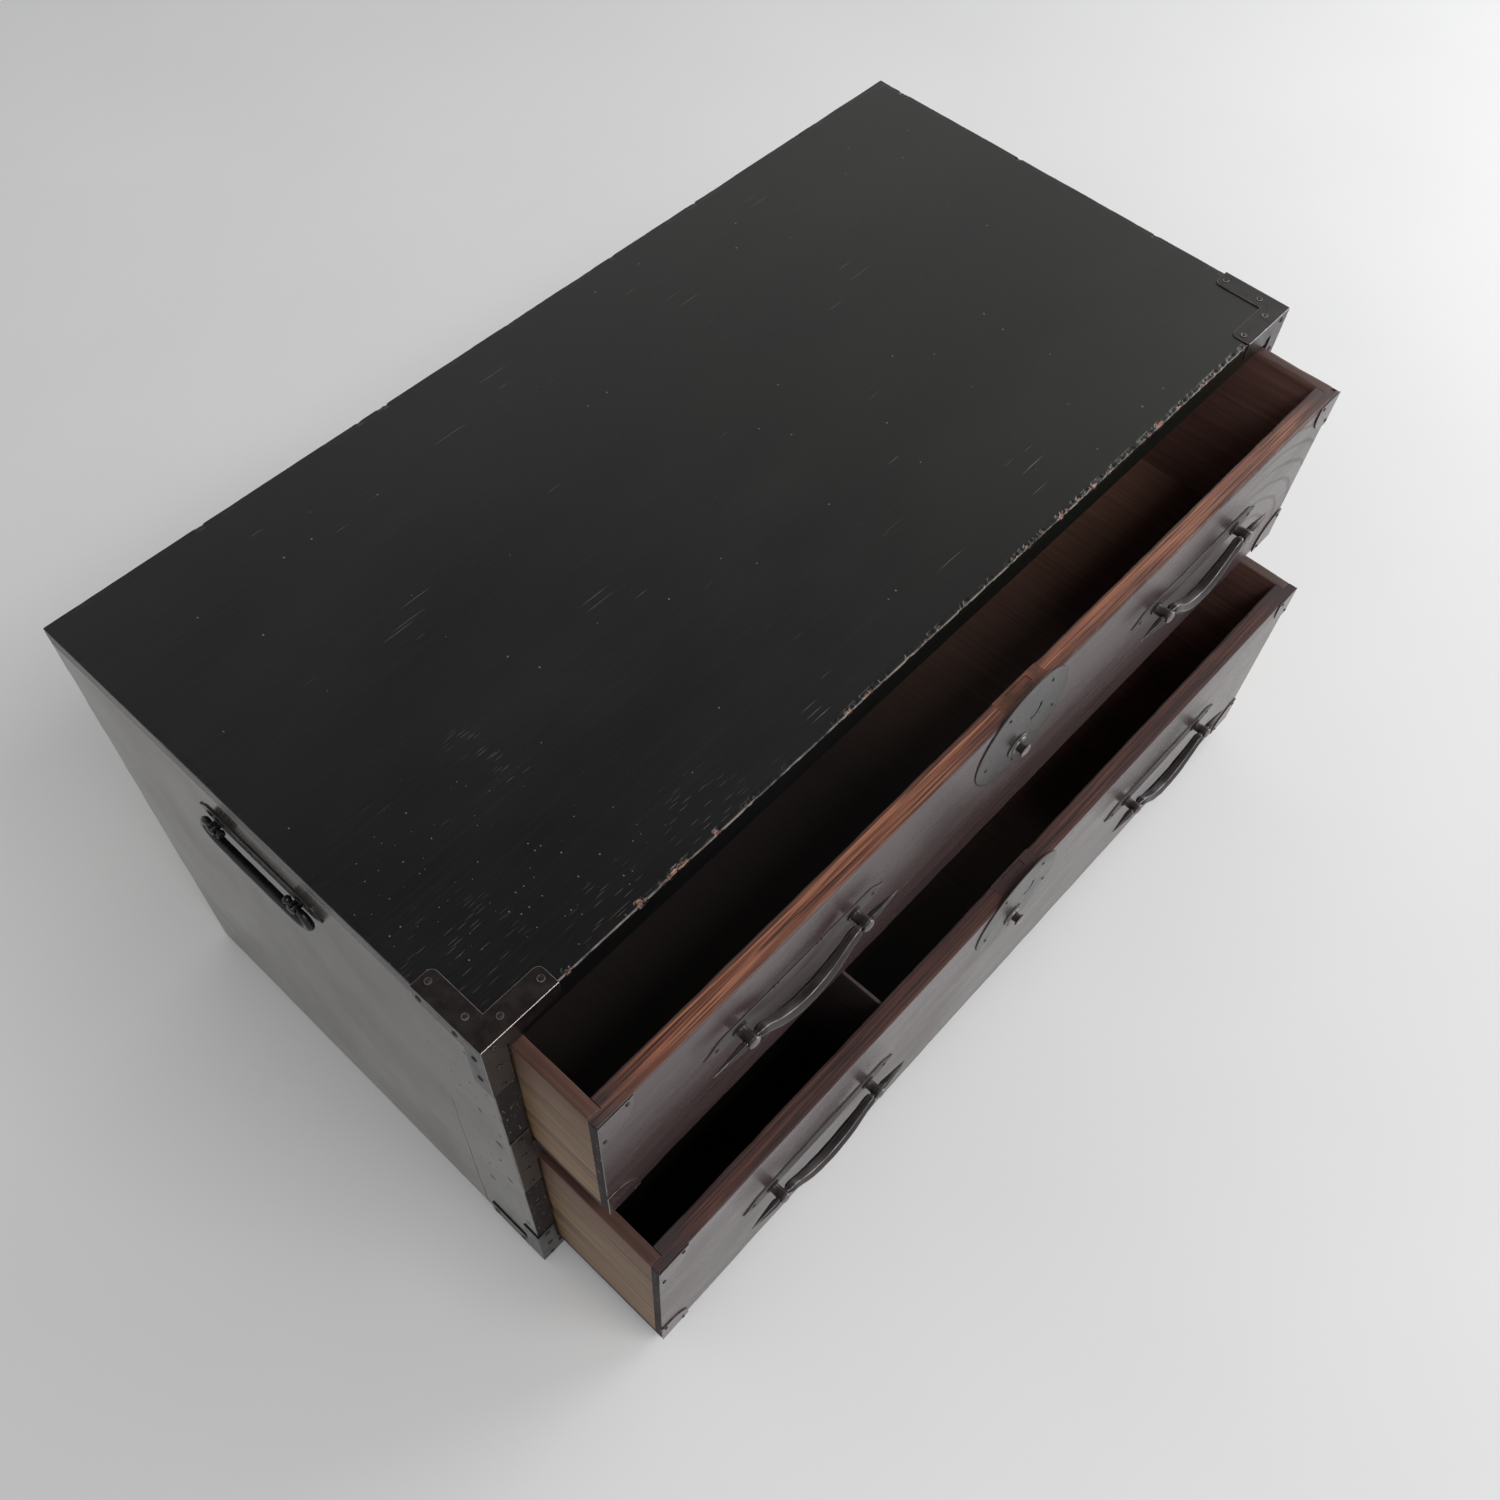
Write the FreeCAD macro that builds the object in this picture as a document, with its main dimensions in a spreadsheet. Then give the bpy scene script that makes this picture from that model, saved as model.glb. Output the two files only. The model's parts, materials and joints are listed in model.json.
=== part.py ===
import FreeCAD
import Part
import Sketcher
import math
import os
import re

# A two-drawer tansu chest in black lacquered wood with blackened iron fittings, in millimetres.
# +X runs along the width, the drawers open towards -Y and +Z is up. The origin is the middle of
# the case's underside. The drawers stand part open, as they do at rest.

doc = FreeCAD.newDocument("TansuChest")
sheet = doc.addObject("Spreadsheet::Sheet", "Sizes")

SIZES = {
    # The case
    "width": 900,
    "depth": 445,
    "height": 482.6,
    "side_thickness": 19,
    "top_thickness": 27,
    "bottom_thickness": 15,
    "back_thickness": 9,
    "shelf_thickness": 8,
    "rail_height": 36,
    "rail_depth": 34,
    "top_lap": 12,
    "housing_depth": 7,
    "shelf_lap": 9,
    "kicker_width": 16,
    "stop_width": 34,
    "stop_thickness": 11,
    "stop_height": 12,
    "stop_inset": 70,
    "back_board_count": 3,
    # How the drawers fit the case
    "side_gap": 1,
    "top_gap": 2,
    "run_gap": 0.3,
    "closed_gap": 0.3,
    # The drawers
    "upper_height": 180,
    "upper_out": 74,
    "lower_out": 121,
    "front_thickness": 17,
    "front_lap": 7.5,
    "drawer_side_thickness": 11,
    "drawer_back_thickness": 10,
    "drawer_bottom_thickness": 7,
    "divider_thickness": 3,
    "divider_place": 163,
    "divider_drop": 6,
    # Iron sheet and nails
    "iron_thickness": 1.2,
    "iron_leg": 62,
    "iron_width": 17,
    "iron_drop": 74,
    "lower_front_leg": 13,
    "lower_side_leg": 24,
    "lower_iron_drop": 68,
    "lower_iron_lift": 1,
    "middle_iron_length": 112,
    "front_iron_length": 30,
    "front_iron_drop": 36,
    "front_iron_waist": 8,
    "front_iron_arc": 30,
    "nail_head_radius": 1.8,
    "nail_head_height": 0.9,
    "nail_radius": 0.8,
    "nail_length": 7,
    "joint_nail_length": 20,
    "nail_inset": 6,
    "edge_nail_height": 148,
    # The drawer handles
    "handle_inset": 184,
    "upper_handle_depth": 68,
    "lower_handle_depth": 98,
    "handle_span": 117,
    "handle_standoff": 12,
    "handle_plate_length": 184,
    "handle_plate_width": 20,
    "ball_radius": 5.6,
    "collar_radius": 6.5,
    "collar_height": 1.6,
    "neck_radius": 4.4,
    "carry_neck_radius": 3.4,
    "shank_radius": 2,
    "shank_gap": 0.2,
    "clench_length": 16,
    "clench_width": 3,
    "clench_thickness": 1,
    "clench_sink": 1.4,
    "pin_radius": 2.8,
    "pin_gap": 0.3,
    "bail_drop": 28,
    "bail_radius": 6,
    "bail_end_gap": 0.8,
    "thorn_length": 22,
    "thorn_tip_radius": 0.6,
    # The carrying handles on the sides
    "carry_place": 4,
    "carry_depth": 55,
    "carry_span": 86,
    "carry_standoff": 6,
    "carry_plate_length": 132,
    "carry_plate_width": 16,
    "carry_ball_radius": 4.4,
    "carry_collar_radius": 5,
    "carry_collar_height": 0.8,
    "carry_pin_radius": 2.3,
    "carry_knob_radius": 3.3,
    "carry_knob_length": 4,
    "carry_reach": 13,
    "carry_drop": 20,
    "carry_radius": 4,
    # The locks
    "lock_plate_radius": 54,
    "lock_plate_depth": 38,
    "lock_nail_circle": 43,
    "button_depth": 61,
    "boss_radius": 11.5,
    "boss_height": 1.6,
    "boss_step_radius": 8.5,
    "boss_step_height": 1.2,
    "button_radius": 4,
    "button_gap": 0.3,
    "button_travel": 4,
    "button_head_radius": 5.8,
    "button_head_height": 2.2,
    "key_slot_width": 1.8,
    "key_slot_arc": 12.5,
    "key_slot_across": 6,
    "key_slot_up": 11,
    "key_hole_radius": 1.2,
    "key_hole_across": 10,
    "key_hole_up": 2,
    "case_width": 50,
    "case_height": 77,
    "case_gap": 0.2,
    "case_wall": 1.2,
    "case_skin": 5,
    "bolt_width": 24,
    "bolt_thickness": 5,
    "bolt_set_back": 9.5,
    "bolt_sink": 0.5,
    "bolt_rise": 7,
    "bolt_gap": 0.3,
    "mortise_gap": 1.5,
    "leaf_thickness": 0.7,
    "leaf_width": 6,
    "leaf_length": 46,
    "leaf_up": 16,
    # How far every cut runs past what it cuts
    "overrun": 2,
}

# Places that several pieces share, worked out from the sizes above.
PLACES = {
    "half_width": "width / 2",
    "half_depth": "depth / 2",
    "bay_half": "half_width - side_thickness",
    "top_under": "height - top_thickness",
    "upper_top": "top_under - top_gap",
    "upper_bottom": "upper_top - upper_height",
    "rail_top": "upper_bottom - run_gap",
    "rail_bottom": "rail_top - rail_height",
    "lower_top": "rail_bottom - top_gap",
    "lower_bottom": "bottom_thickness + run_gap",
    "lower_height": "lower_top - lower_bottom",
    "back_inside": "half_depth - back_thickness",
    "drawer_half": "bay_half - side_gap",
    "upper_face": "0 - half_depth - upper_out",
    "lower_face": "0 - half_depth - lower_out",
    "shut_face": "0 - half_depth - closed_gap",
    "drawer_length": "back_inside - stop_thickness - closed_gap - shut_face",
    "handle_place": "drawer_half - handle_inset",
    "bolt_gap_way": "mortise_gap + bolt_thickness / 2",
    "bolt_middle": "bolt_set_back + bolt_thickness / 2",
    "wedge_slope": "bolt_rise / button_travel",
    "shank_hole": "shank_radius + shank_gap",
    "pin_hole": "pin_radius + pin_gap",
    "carry_pin_hole": "carry_pin_radius + pin_gap",
    "handle_half": "handle_span / 2",
    "carry_half": "carry_span / 2",
    "carry_height": "height - carry_depth",
}

for row, (alias, value) in enumerate(SIZES.items(), start=1):
    sheet.set(f"A{row}", alias)
    sheet.set(f"B{row}", str(value))
    sheet.setAlias(f"B{row}", alias)
doc.recompute()


def spell(word):
    """A place's name turned into its own expression, and a size's name into its cell."""
    name = word[0]
    if name in PLACES:
        return "(" + formula(PLACES[name]) + ")"
    return f"Sizes.{name}" if name in SIZES else name


def formula(text):
    """The expression as the document reads it, with nothing but the sheet's cells in it."""
    return re.sub(r"[a-z_]+", spell, str(text))


def measure(text):
    """The expression's value, for shapes and first guesses."""
    return float(sheet.evalExpression(formula(text)))


def bind(thing, field, text):
    thing.setExpression(field, formula(text))


def place(thing, x=0, y=0, z=0):
    """Binds where a piece stands."""
    for axis, text in zip("xyz", (x, y, z)):
        bind(thing, f"Placement.Base.{axis}", text)


def box(label, x, y, z, along_x, along_y, along_z):
    """A plain board with its lowest corner at x, y, z."""
    board = doc.addObject("Part::Box", label)
    board.Label = label
    bind(board, "Length", along_x)
    bind(board, "Width", along_y)
    bind(board, "Height", along_z)
    place(board, x, y, z)
    return board


def group(label, members):
    """Several like pieces kept under one name."""
    bundle = doc.addObject("Part::Compound", label)
    bundle.Label = label
    bundle.Links = members
    return bundle


def new_body(label):
    body = doc.addObject("PartDesign::Body", label)
    body.Label = label
    return body


def sketch_on(body, role, offset=0):
    """A sketch on one of the body's own origin planes, moved along the plane's normal."""
    sketch = body.newObject("Sketcher::SketchObject", "Sketch")
    plane = [item for item in body.Origin.OriginFeatures if item.Role == role][0]
    sketch.AttachmentSupport = [(plane, "")]
    sketch.MapMode = "FlatFace"
    bind(sketch, "AttachmentOffset.Base.z", offset)
    return sketch


def fix_point(sketch, item, end, x, y):
    """Holds one point of a sketch at the expressions x and y."""
    for kind, text in (("DistanceX", x), ("DistanceY", y)):
        number = sketch.addConstraint(Sketcher.Constraint(kind, -1, 1, item, end, measure(text)))
        bind(sketch, f"Constraints[{number}]", text)


def circle(sketch, x, y, radius):
    middle = FreeCAD.Vector(measure(x), measure(y), 0)
    item = sketch.addGeometry(Part.Circle(middle, FreeCAD.Vector(0, 0, 1), measure(radius)))
    fix_point(sketch, item, 3, x, y)
    number = sketch.addConstraint(Sketcher.Constraint("Radius", item, measure(radius)))
    bind(sketch, f"Constraints[{number}]", radius)


def bulge(start, end, radius, side):
    """The arc of that radius between two points, bowed to the left or right of the way along."""
    chord = end - start
    left = FreeCAD.Vector(-chord.y, chord.x, 0).normalize()
    half = chord.Length / 2
    sagitta = radius - math.sqrt(max(radius * radius - half * half, 0))
    return Part.Arc(start, (start + end) * 0.5 + left * sagitta * side, end)


def outline(sketch, corners):
    """A closed outline. A corner is (x, y), or (x, y, radius, side) where an arc leaves it."""
    points = [FreeCAD.Vector(measure(corner[0]), measure(corner[1]), 0) for corner in corners]
    items = []
    for index, corner in enumerate(corners):
        start = points[index]
        end = points[(index + 1) % len(points)]
        if len(corner) == 2:
            items.append(sketch.addGeometry(Part.LineSegment(start, end)))
        else:
            items.append(sketch.addGeometry(bulge(start, end, measure(corner[2]), corner[3])))
    # An arc drawn clockwise is stored the other way round, so each end is found by its place.
    ends = []
    for item, start in zip(items, points):
        near = 1 if sketch.getPoint(item, 1).distanceToPoint(start) < 1e-6 else 2
        ends.append((near, 3 - near))
    for index, corner in enumerate(corners):
        following = (index + 1) % len(corners)
        join = Sketcher.Constraint(
            "Coincident", items[index], ends[index][1], items[following], ends[following][0])
        sketch.addConstraint(join)
        fix_point(sketch, items[index], ends[index][0], corner[0], corner[1])
        if len(corner) > 2:
            radius = Sketcher.Constraint("Radius", items[index], measure(corner[2]))
            bind(sketch, f"Constraints[{sketch.addConstraint(radius)}]", corner[2])


def rectangle(sketch, x_low, y_low, x_high, y_high):
    outline(sketch, [(x_low, y_low), (x_high, y_low), (x_high, y_high), (x_low, y_high)])


def pad(body, sketch, length):
    feature = body.newObject("PartDesign::Pad", "Pad")
    feature.Profile = sketch
    bind(feature, "Length", length)
    return feature


def pocket(body, sketch, length):
    """Cuts against the sketch's normal."""
    feature = body.newObject("PartDesign::Pocket", "Pocket")
    feature.Profile = sketch
    bind(feature, "Length", length)
    return feature


def turned(body, sketch):
    """Turns a profile drawn on the XY plane round the body's own Y axis."""
    feature = body.newObject("PartDesign::Revolution", "Revolution")
    feature.Profile = sketch
    feature.ReferenceAxis = (sketch, ["V_Axis"])
    feature.Angle = 360
    return feature


def rod(stations):
    """A forged rod through (x, z, radius) stations in its own XZ plane, lofted over circles."""
    points = [FreeCAD.Vector(x, 0, z) for x, z, radius in stations]
    wires = []
    for index, (x, z, radius) in enumerate(stations):
        before = points[max(index - 1, 0)]
        after = points[min(index + 1, len(points) - 1)]
        heading = (after - before).normalize()
        if index in (0, len(points) - 1):
            heading = FreeCAD.Vector(1 if after.x > before.x else -1, 0, 0)
        wires.append(Part.Wire(Part.Circle(points[index], heading, radius).toShape()))
    return Part.makeLoft(wires, True, False)


def feature_from(label, shape, x=0, y=0, z=0, turn=0):
    """A piece whose shape is worked out above, set down in its place."""
    piece = doc.addObject("Part::Feature", label)
    piece.Label = label
    piece.Shape = shape
    where = FreeCAD.Vector(measure(x), measure(y), measure(z))
    piece.Placement = FreeCAD.Placement(where, FreeCAD.Rotation(FreeCAD.Vector(0, 0, 1), turn))
    return piece


# The case's boards

def make_top_board():
    """The top, lapped over the sides' upper ends and mortised for the upper lock's bolt."""
    body = new_body("top_board")
    sketch = sketch_on(body, "XY_Plane", "top_under")
    rectangle(sketch, "0 - half_width", "0 - half_depth", "half_width", "half_depth")
    pad(body, sketch, "top_thickness")
    for low, high in (("0 - half_width - overrun", "0 - bay_half"), ("bay_half", "half_width + overrun")):
        lap = sketch_on(body, "XY_Plane", "top_under + top_lap")
        rectangle(lap, low, "0 - half_depth - overrun", high, "half_depth + overrun")
        pocket(body, lap, "top_lap + overrun")
    mortise = sketch_on(body, "XY_Plane", "top_under + bolt_rise + mortise_gap")
    mortise_outline(mortise)
    pocket(body, mortise, "bolt_rise + mortise_gap + overrun")
    return body


def mortise_outline(sketch):
    """The bolt's mortise as seen from below, with room round the bolt of a shut drawer."""
    rectangle(sketch, "0 - bolt_width / 2 - mortise_gap", "shut_face + bolt_middle - bolt_gap_way",
              "bolt_width / 2 + mortise_gap", "shut_face + bolt_middle + bolt_gap_way")


def make_side_board(label, side):
    """A side board housed for the bottom, rail and shelf, and bored for the carrying handle."""
    body = new_body(label)
    outer = "0 - half_width" if side < 0 else "bay_half"
    sketch = sketch_on(body, "YZ_Plane", outer)
    rectangle(sketch, "0 - half_depth", "0", "half_depth", "top_under + top_lap")
    pad(body, sketch, "side_thickness")
    recesses = [
        ("housing_depth", "0 - half_depth - overrun", "0 - overrun", "back_inside", "bottom_thickness"),
        ("housing_depth", "0 - half_depth - overrun", "rail_bottom", "rail_depth - half_depth", "rail_top"),
        ("housing_depth", "rail_depth - half_depth", "rail_top - shelf_thickness", "back_inside", "rail_top"),
    ]
    half_wide = "(clench_width / 2 + shank_gap)"
    half_long = "(clench_length / 2 + shank_gap)"
    for way in (-1, 1):
        post = f"(carry_place + {way} * carry_half)"
        recesses.append(("clench_sink", f"{post} - {half_wide}", f"carry_height - {half_long}",
                         f"{post} + {half_wide}", f"carry_height + {half_long}"))
    for sink, *corners in recesses:
        # A cut runs towards -X, so on the right board it starts inside the wood.
        cut = sketch_on(body, "YZ_Plane", "overrun - bay_half" if side < 0 else f"bay_half + {sink}")
        rectangle(cut, *corners)
        pocket(body, cut, f"{sink} + overrun")
    bores = sketch_on(body, "YZ_Plane", f"{outer} + side_thickness + overrun")
    for way in (-1, 1):
        circle(bores, f"carry_place + {way} * carry_half", "carry_height", "shank_hole")
    pocket(body, bores, "side_thickness + 2 * overrun")
    return body


def make_middle_rail():
    """The rail between the drawers, rebated for the shelf and mortised for the lower bolt."""
    body = new_body("middle_rail")
    sketch = sketch_on(body, "XY_Plane", "rail_bottom")
    rectangle(sketch, "0 - bay_half - housing_depth", "0 - half_depth",
              "bay_half + housing_depth", "rail_depth - half_depth")
    pad(body, sketch, "rail_height")
    rebate = sketch_on(body, "XY_Plane", "rail_top + overrun")
    rectangle(rebate, "0 - half_width", "rail_depth - half_depth - shelf_lap",
              "half_width", "rail_depth - half_depth + overrun")
    pocket(body, rebate, "shelf_thickness + overrun")
    mortise = sketch_on(body, "XY_Plane", "rail_bottom + bolt_rise + mortise_gap")
    mortise_outline(mortise)
    pocket(body, mortise, "bolt_rise + mortise_gap + overrun")
    return body


def make_case_boards():
    """The boards that need no joinery cuts of their own, beyond what their neighbours have."""
    bottom = box("bottom_board", "0 - bay_half - housing_depth", "0 - half_depth", "0",
                 "2 * (bay_half + housing_depth)", "depth - back_thickness", "bottom_thickness")
    # Between the housed part and the rail's rebate the shelf runs from side to side.
    shelf = new_body("middle_shelf")
    sketch = sketch_on(shelf, "XY_Plane", "rail_top - shelf_thickness")
    outline(sketch, [
        ("0 - bay_half", "rail_depth - half_depth - shelf_lap"),
        ("bay_half", "rail_depth - half_depth - shelf_lap"),
        ("bay_half", "rail_depth - half_depth"),
        ("bay_half + housing_depth", "rail_depth - half_depth"),
        ("bay_half + housing_depth", "back_inside"),
        ("0 - bay_half - housing_depth", "back_inside"),
        ("0 - bay_half - housing_depth", "rail_depth - half_depth"),
        ("0 - bay_half", "rail_depth - half_depth"),
    ])
    pad(shelf, sketch, "shelf_thickness")
    return [bottom, shelf]


def make_back_boards():
    """Boards laid edge to edge behind the shelf, between the sides."""
    count = round(measure("back_board_count"))
    boards = []
    for index in range(count):
        board_height = "top_under / back_board_count"
        boards.append(box(f"back_board_{index + 1}", "0 - bay_half", "back_inside",
                          f"{index} * {board_height}", "2 * bay_half", "back_thickness", board_height))
    return group("back_boards", boards)


def make_kickers():
    """Battens under the shelf that keep the lower drawer level as it comes out."""
    kickers = []
    for side, start in (("left", "0 - bay_half"), ("right", "bay_half - kicker_width")):
        kickers.append(box(f"kicker_{side}", start, "rail_depth - half_depth", "rail_bottom",
                           "kicker_width", "back_inside - rail_depth + half_depth",
                           "rail_height - shelf_thickness"))
    return group("kicker_battens", kickers)


def make_stops():
    """Blocks that a shut drawer meets, so that its front comes to rest flush with the case."""
    stops = []
    for level, floor in (("lower", "bottom_thickness"), ("upper", "rail_top")):
        for side, start in (("left", "stop_inset - bay_half"),
                            ("right", "bay_half - stop_inset - stop_width")):
            stops.append(box(f"stop_{level}_{side}", start, "back_inside - stop_thickness", floor,
                             "stop_width", "stop_thickness", "stop_height"))
    return group("drawer_stops", stops)


# The case's irons

def flat_iron(body, role, offset, corners):
    """One leg of folded sheet iron, drawn on a plane and as thick as the sheet."""
    sketch = sketch_on(body, role, offset)
    outline(sketch, corners)
    return pad(body, sketch, "iron_thickness")


def angle(edge_a, edge_b, way_a, way_b, leg_a, leg_b, width_a, width_b):
    """An L with its outer corner at edge_a, edge_b. Leg a runs along the first axis."""
    return [
        (edge_a, edge_b),
        (f"{edge_a} + {way_a} * {leg_a}", edge_b),
        (f"{edge_a} + {way_a} * {leg_a}", f"{edge_b} + {way_b} * {width_a}"),
        (f"{edge_a} + {way_a} * {width_b}", f"{edge_b} + {way_b} * {width_a}"),
        (f"{edge_a} + {way_a} * {width_b}", f"{edge_b} + {way_b} * {leg_b}"),
        (edge_a, f"{edge_b} + {way_b} * {leg_b}"),
    ]


def make_upper_corner_iron(label, side):
    """Sheet iron folded round a top front corner, with an angle on each of the three faces."""
    body = new_body(label)
    inward = -side
    edge_x = f"{side} * (half_width + iron_thickness)"
    edge_y = "0 - half_depth - iron_thickness"
    leg = "(iron_leg + iron_thickness)"
    width = "(iron_width + iron_thickness)"
    drop = "(iron_drop + iron_thickness)"
    flat_iron(body, "XY_Plane", "height", angle(edge_x, edge_y, inward, 1, leg, leg, width, width))
    outer = "0 - half_width - iron_thickness" if side < 0 else "half_width"
    flat_iron(body, "YZ_Plane", outer,
              angle(edge_y, "height + iron_thickness", 1, -1, leg, drop, width, width))
    flat_iron(body, "XZ_Plane", "half_depth",
              angle(edge_x, "height + iron_thickness", inward, -1, leg, drop, width, width))
    return body


def make_lower_corner_iron(label, side):
    """The bottom front corner's iron, on the side and the front only, just clear of the floor."""
    body = new_body(label)
    edge_x = f"{side} * (half_width + iron_thickness)"
    edge_y = "0 - half_depth - iron_thickness"
    leg = "(iron_leg + iron_thickness)"
    width = "(iron_width + iron_thickness)"
    outer = "0 - half_width - iron_thickness" if side < 0 else "half_width"
    flat_iron(body, "YZ_Plane", outer,
              angle(edge_y, "lower_iron_lift", 1, 1, leg, "lower_iron_drop", "lower_side_leg", width))
    flat_iron(body, "XZ_Plane", "half_depth",
              angle(edge_x, "lower_iron_lift", -side, 1, leg, "lower_iron_drop", "lower_front_leg", width))
    return body


def make_middle_iron(label, side):
    """The strap on a side board's front edge, over the end of the middle rail."""
    body = new_body(label)
    low = "rail_bottom + rail_height / 2 - middle_iron_length / 2"
    high = "rail_bottom + rail_height / 2 + middle_iron_length / 2"
    sketch = sketch_on(body, "XZ_Plane", "half_depth")
    outline(sketch, [(f"{side} * half_width", low), (f"{side} * (half_width - iron_width)", low),
                     (f"{side} * (half_width - iron_width)", high), (f"{side} * half_width", high)])
    pad(body, sketch, "iron_thickness")
    return body


# Nails

def nail(x, y, z, outward, length="nail_length"):
    """A driven nail: a low domed head standing on a surface and the shank behind it."""
    head_radius = measure("nail_head_radius")
    head_height = measure("nail_head_height")
    shank = measure("nail_radius")
    dome = (head_radius ** 2 + head_height ** 2) / (2 * head_height)
    crown = FreeCAD.Vector(0, head_height, 0)
    rim = FreeCAD.Vector(head_radius, 0, 0)
    below = FreeCAD.Vector(0, -measure(length), 0)
    stem = Part.makePolygon([rim, FreeCAD.Vector(shank, 0, 0), below + FreeCAD.Vector(shank, 0, 0),
                             below, crown])
    profile = Part.Wire([bulge(crown, rim, dome, 1).toShape()] + stem.Edges)
    origin = FreeCAD.Vector(0, 0, 0)
    axis = FreeCAD.Vector(0, 1, 0)
    shape = Part.Face(profile).revolve(origin, axis, 360)
    foot = FreeCAD.Vector(measure(x), measure(y), measure(z))
    turn = FreeCAD.Rotation(axis, FreeCAD.Vector(*outward))
    shape.Placement = FreeCAD.Placement(foot, turn)
    return shape


def case_nails():
    """Every nail through the case's irons and the carrying handles' plates."""
    nails = []
    for side in (-1, 1):
        edge = f"{side} * half_width"
        skin = f"{side} * (half_width + iron_thickness)"
        front = "0 - half_depth"
        front_skin = "0 - half_depth - iron_thickness"
        middle = "iron_width / 2"
        for along in ("iron_leg - nail_inset", "iron_width + nail_inset"):
            nails.append(nail(f"{edge} - {side} * {middle}", f"{front} + {along}",
                              "height + iron_thickness", (0, 0, 1)))
            nails.append(nail(f"{edge} - {side} * ({along})", f"{front} + {middle}",
                              "height + iron_thickness", (0, 0, 1)))
            nails.append(nail(skin, f"{front} + {along}", f"height - {middle}", (side, 0, 0)))
            nails.append(nail(skin, f"{front} + {middle}", f"height - ({along})", (side, 0, 0)))
            nails.append(nail(skin, f"{front} + {along}", "lower_side_leg / 2", (side, 0, 0)))
        for down in ("iron_drop - nail_inset", "iron_drop / 2", "nail_inset"):
            nails.append(nail(f"{edge} - {side} * {middle}", front_skin, f"height - ({down})", (0, -1, 0)))
        for up in ("lower_iron_drop - nail_inset", "lower_iron_drop / 2", "nail_inset"):
            nails.append(nail(f"{edge} - {side} * {middle}", front_skin, up, (0, -1, 0)))
        for share in (-0.42, -0.14, 0.14, 0.42):
            up = f"rail_bottom + rail_height / 2 + {share} * middle_iron_length"
            nails.append(nail(f"{edge} - {side} * {middle}", front_skin, up, (0, -1, 0)))
        nails.append(nail(f"{edge} - {side} * {middle}", front, "edge_nail_height", (0, -1, 0)))
        for share in (-1, 0, 1):
            along = f"carry_place + {share} * (carry_plate_length / 2 - 2 * nail_inset)"
            nails.append(nail(skin, along, "carry_height", (side, 0, 0)))
    return feature_from("case_nails", Part.makeCompound(nails))


# Handles

# Half of a handle plate's outline, as shares of its half length and half width.
LEAF_SHARES = [(1, 0), (0.93, 0.55), (0.84, 1)]


def leaf_plate(body, offset, length, width):
    """A long plate with pointed ends, drawn about its own middle on the XZ plane."""
    sketch = sketch_on(body, "XZ_Plane", offset)
    right = [(f"{a} * {length} / 2", f"{b} * {width} / 2") for a, b in LEAF_SHARES]
    left = [(f"-{a} * {length} / 2", f"{b} * {width} / 2") for a, b in reversed(LEAF_SHARES)]
    under_left = [(f"-{a} * {length} / 2", f"-{b} * {width} / 2") for a, b in LEAF_SHARES[1:]]
    under_right = [(f"{a} * {length} / 2", f"-{b} * {width} / 2") for a, b in reversed(LEAF_SHARES[1:])]
    outline(sketch, right + left + under_left + under_right)
    pad(body, sketch, "iron_thickness")


def make_handle_plate(label, length, width, half, x, y, z, turn=0):
    """The plate behind a bail, pierced where the posts go through."""
    body = new_body(label)
    leaf_plate(body, 0, length, width)
    holes = sketch_on(body, "XZ_Plane", "iron_thickness + overrun")
    circle(holes, f"-{half}", 0, "shank_hole")
    circle(holes, half, 0, "shank_hole")
    pocket(body, holes, "iron_thickness + 2 * overrun")
    body.Placement.Rotation = FreeCAD.Rotation(FreeCAD.Vector(0, 0, 1), turn)
    place(body, x, y, z)
    return body


def make_post(label, standoff, ball, neck, collar, collar_height, hole, board, x, y, z, turn=0):
    """A ball-headed post: collar on the plate, shank through the board and clenched behind it."""
    body = new_body(label)
    profile = sketch_on(body, "XY_Plane")
    neck_end = f"0 - {standoff} + sqrt({ball} ^ 2 - {neck} ^ 2)"
    outline(profile, [
        (0, f"{board} + clench_thickness"),
        (0, f"0 - {standoff} - {ball}", ball, -1),
        (neck, neck_end),
        (neck, f"0 - iron_thickness - {collar_height}"),
        (collar, f"0 - iron_thickness - {collar_height}"),
        (collar, "0 - iron_thickness"),
        ("shank_radius", "0 - iron_thickness"),
        ("shank_radius", f"{board} + clench_thickness"),
    ])
    turned(body, profile)
    clench = sketch_on(body, "XZ_Plane", f"0 - {board} - clench_thickness")
    rectangle(clench, "0 - clench_width / 2", "0 - clench_length / 2",
              "clench_width / 2", "clench_length / 2")
    pad(body, clench, "clench_thickness")
    eye = sketch_on(body, "YZ_Plane", f"{ball} + overrun")
    circle(eye, f"0 - {standoff}", 0, hole)
    pocket(body, eye, f"2 * ({ball} + overrun)")
    body.Placement.Rotation = FreeCAD.Rotation(FreeCAD.Vector(0, 0, 1), turn)
    place(body, x, y, z)
    return body


# A drawer bail's middle, as shares of its half length, its drop and its thickest radius.
BAIL_SHARES = [(1, 0, 0.6), (0.93, 0.01, 0.62), (0.86, 0.1, 0.7), (0.78, 0.27, 0.86), (0.66, 0.5, 0.96),
               (0.5, 0.72, 1), (0.34, 0.87, 1), (0.17, 0.97, 1), (0, 1, 1)]


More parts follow.
